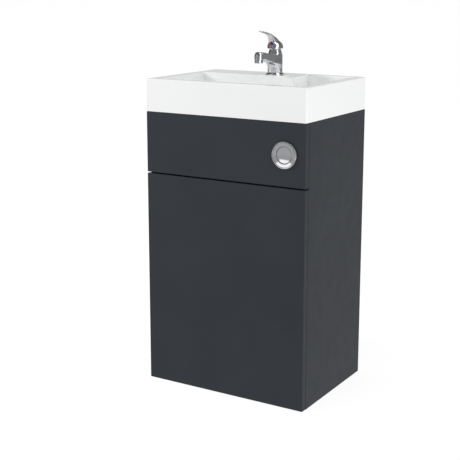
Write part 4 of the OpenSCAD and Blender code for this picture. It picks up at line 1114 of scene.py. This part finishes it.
# braided supply tails and their unions
tails, ids, uvs, tv = [], [], [], []
for i, (s, xe) in enumerate(((-1, -207.0), (1, 207.0))):
    px = TX + s * 8
    yb_ = YB - 31
    route = [(px, TY + 5, 851), (px, TY + 5, 838), (px, TY + 5, 792), (TX + s * 34, YB - 38, 768), (xe - s * 30, yb_, 766), (xe, yb_, 750), (xe, yb_, 728), (xe, yb_, 716.1)]
    rt = []
    for a, b in zip(route, route[1:]):
        rt += [tuple(np.array(a) + (np.array(b) - np.array(a)) * k / 6) for k in range(6)]
    rt.append(route[-1])
    hose = sweep(smooth_path(rt, 3.0, 60), 4.6, 20, None, 28.9)
    brass = moved(lathe(round_poly([(0, 849), (4.8, 849, 0.4), (4.8, 853), (5, 853.2), (5, 888, 0.5), (0, 888)], 3, closed=False), 32), at(px, TY + 5, 0))
    collar = moved(lathe(round_poly([(0, 842), (5.6, 842, 0.6), (5.6, 852, 0.8), (0, 852)], 3, closed=False), 32), at(px, TY + 5, 0))
    collar2 = moved(lathe(round_poly([(0, 716.05), (5.9, 716.05, 0.4), (5.9, 727, 0.8), (0, 727)], 3, closed=False), 32), at(xe, yb_, 0))
    hexa = []
    for zz, rr in ((690, 11.2), (691, 12), (715, 12), (716, 11.2)):
        hexa.append([(rr * math.cos(math.pi / 3 * k), rr * math.sin(math.pi / 3 * k), zz) for k in range(6)])
    bore = [[(rr * math.cos(math.pi / 3 * k), rr * math.sin(math.pi / 3 * k), zz) for k in range(6)] for zz, rr in ((690, 11.2),)]
    nut = temp("nut", *stack(hexa))
    cut = temp("bore", *lathe([(0, 688), (7.6, 688), (7.6, 705), (0, 705)], 48))
    carve(nut, [cut])
    nv = [tuple(c / MM for c in q.co) for q in nut.data.vertices]
    nf = [tuple(p.vertices) for p in nut.data.polygons]
    bpy.data.objects.remove(nut)
    nut_part = moved((nv, nf), at(xe, yb_, 0))
    for part, mid, uv in ((hose[:2], 0, hose[2]), (brass, 1, None), (collar, 2, None), (collar2, 2, None), (nut_part, 3, None)):
        n0 = len(tv)
        tv += [tuple(p) for p in part[0]]
        tails += [tuple(k + n0 for k in q) for q in part[1]]
        ids += [mid] * len(part[1])
        uvs += uv if uv is not None else [(0.0, 0.0)] * sum(len(q) for q in part[1])
put("supply_tails", tv, tails, [MAT["braid"], MAT["brass"], MAT["zinc"], MAT["brass"]], "cabinet", "tap_tails", ids=ids, uvs=uvs)

# two air hoses between the button's pump and the flush valve
hv, hf = [], []
for i, (x0, x1, z1) in enumerate(((BX - 9, 40.0, 700.0), (BX + 9, 54.0, 716.0))):
    ctrl = [(x0, YF + 68, BZ), (x0, YF + 96, BZ), (x0, YF + 120, BZ), (x0, CY, z1 + 6), (x1 + 34, CY, z1), (x1, CY, z1 - 24), (x1, CY, 672), (x1, CY, 654)]
    rt = []
    for a, b in zip(ctrl, ctrl[1:]):
        rt += [tuple(np.array(a) + (np.array(b) - np.array(a)) * k / 5) for k in range(5)]
    rt.append(ctrl[-1])
    a_, b_, _ = sweep(smooth_path(rt, 4.0, 30), 3.6, 16, 2.5)
    n0 = len(hv)
    hv += a_
    hf += [tuple(k + n0 for k in q) for q in b_]
put("air_hose_pair", hv, hf, MAT["clear"], "cabinet", "air_hoses")

# ---------------------------------------------------------------- finishes of the CAD nodes that stay
STAY = {
    "rail_dowels": ("wood", "dowel_wood"), "rail_cam_fasteners": ("zinc", None), "front_fixing_blocks": ("white", None),
    "fixing_screws": ("zinc", None), "panel_catch_studs": ("zinc", None), "panel_catch_sockets": ("white", None),
    "floor_brackets": ("zinc", None), "waste_seal": ("rubber", None), "waste_backnut": ("chrome", None),
    "trap_nuts": ("white", None), "trap_body": ("white", None), "trap_cup": ("white", None), "trap_outlet_pipe": ("white", None),
    "tap_cartridge": ("cartridge", None), "tap_carrier": ("cartridge", None), "tap_pivot_pin": ("zinc", None),
    "tap_stem": ("brass", None), "tap_index_screw": ("dark", None), "aerator_insert": ("dark", None), "tap_stud": ("brass", None),
    "tap_horseshoe_washer": ("zinc", None), "tap_stud_nut": ("brass", None), "tail_clips": ("white", None),
    "flush_backnut": ("white", None),
    "air_pump_body": ("dark", None), "fill_valve_body": ("valve", None), "fill_valve_float": ("float", None),
    "fill_valve_arm": ("dark", None), "flush_valve_body": ("valve", None), "flush_valve_tube": ("float", None),
    "cistern_backnuts": ("white", None),
}
for name, (key, _) in STAY.items():
    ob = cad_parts[name]
    for s in ob.material_slots:
        s.material = MAT[key]
    if not ob.material_slots:
        ob.data.materials.append(MAT[key])

bpy.context.view_layer.update()
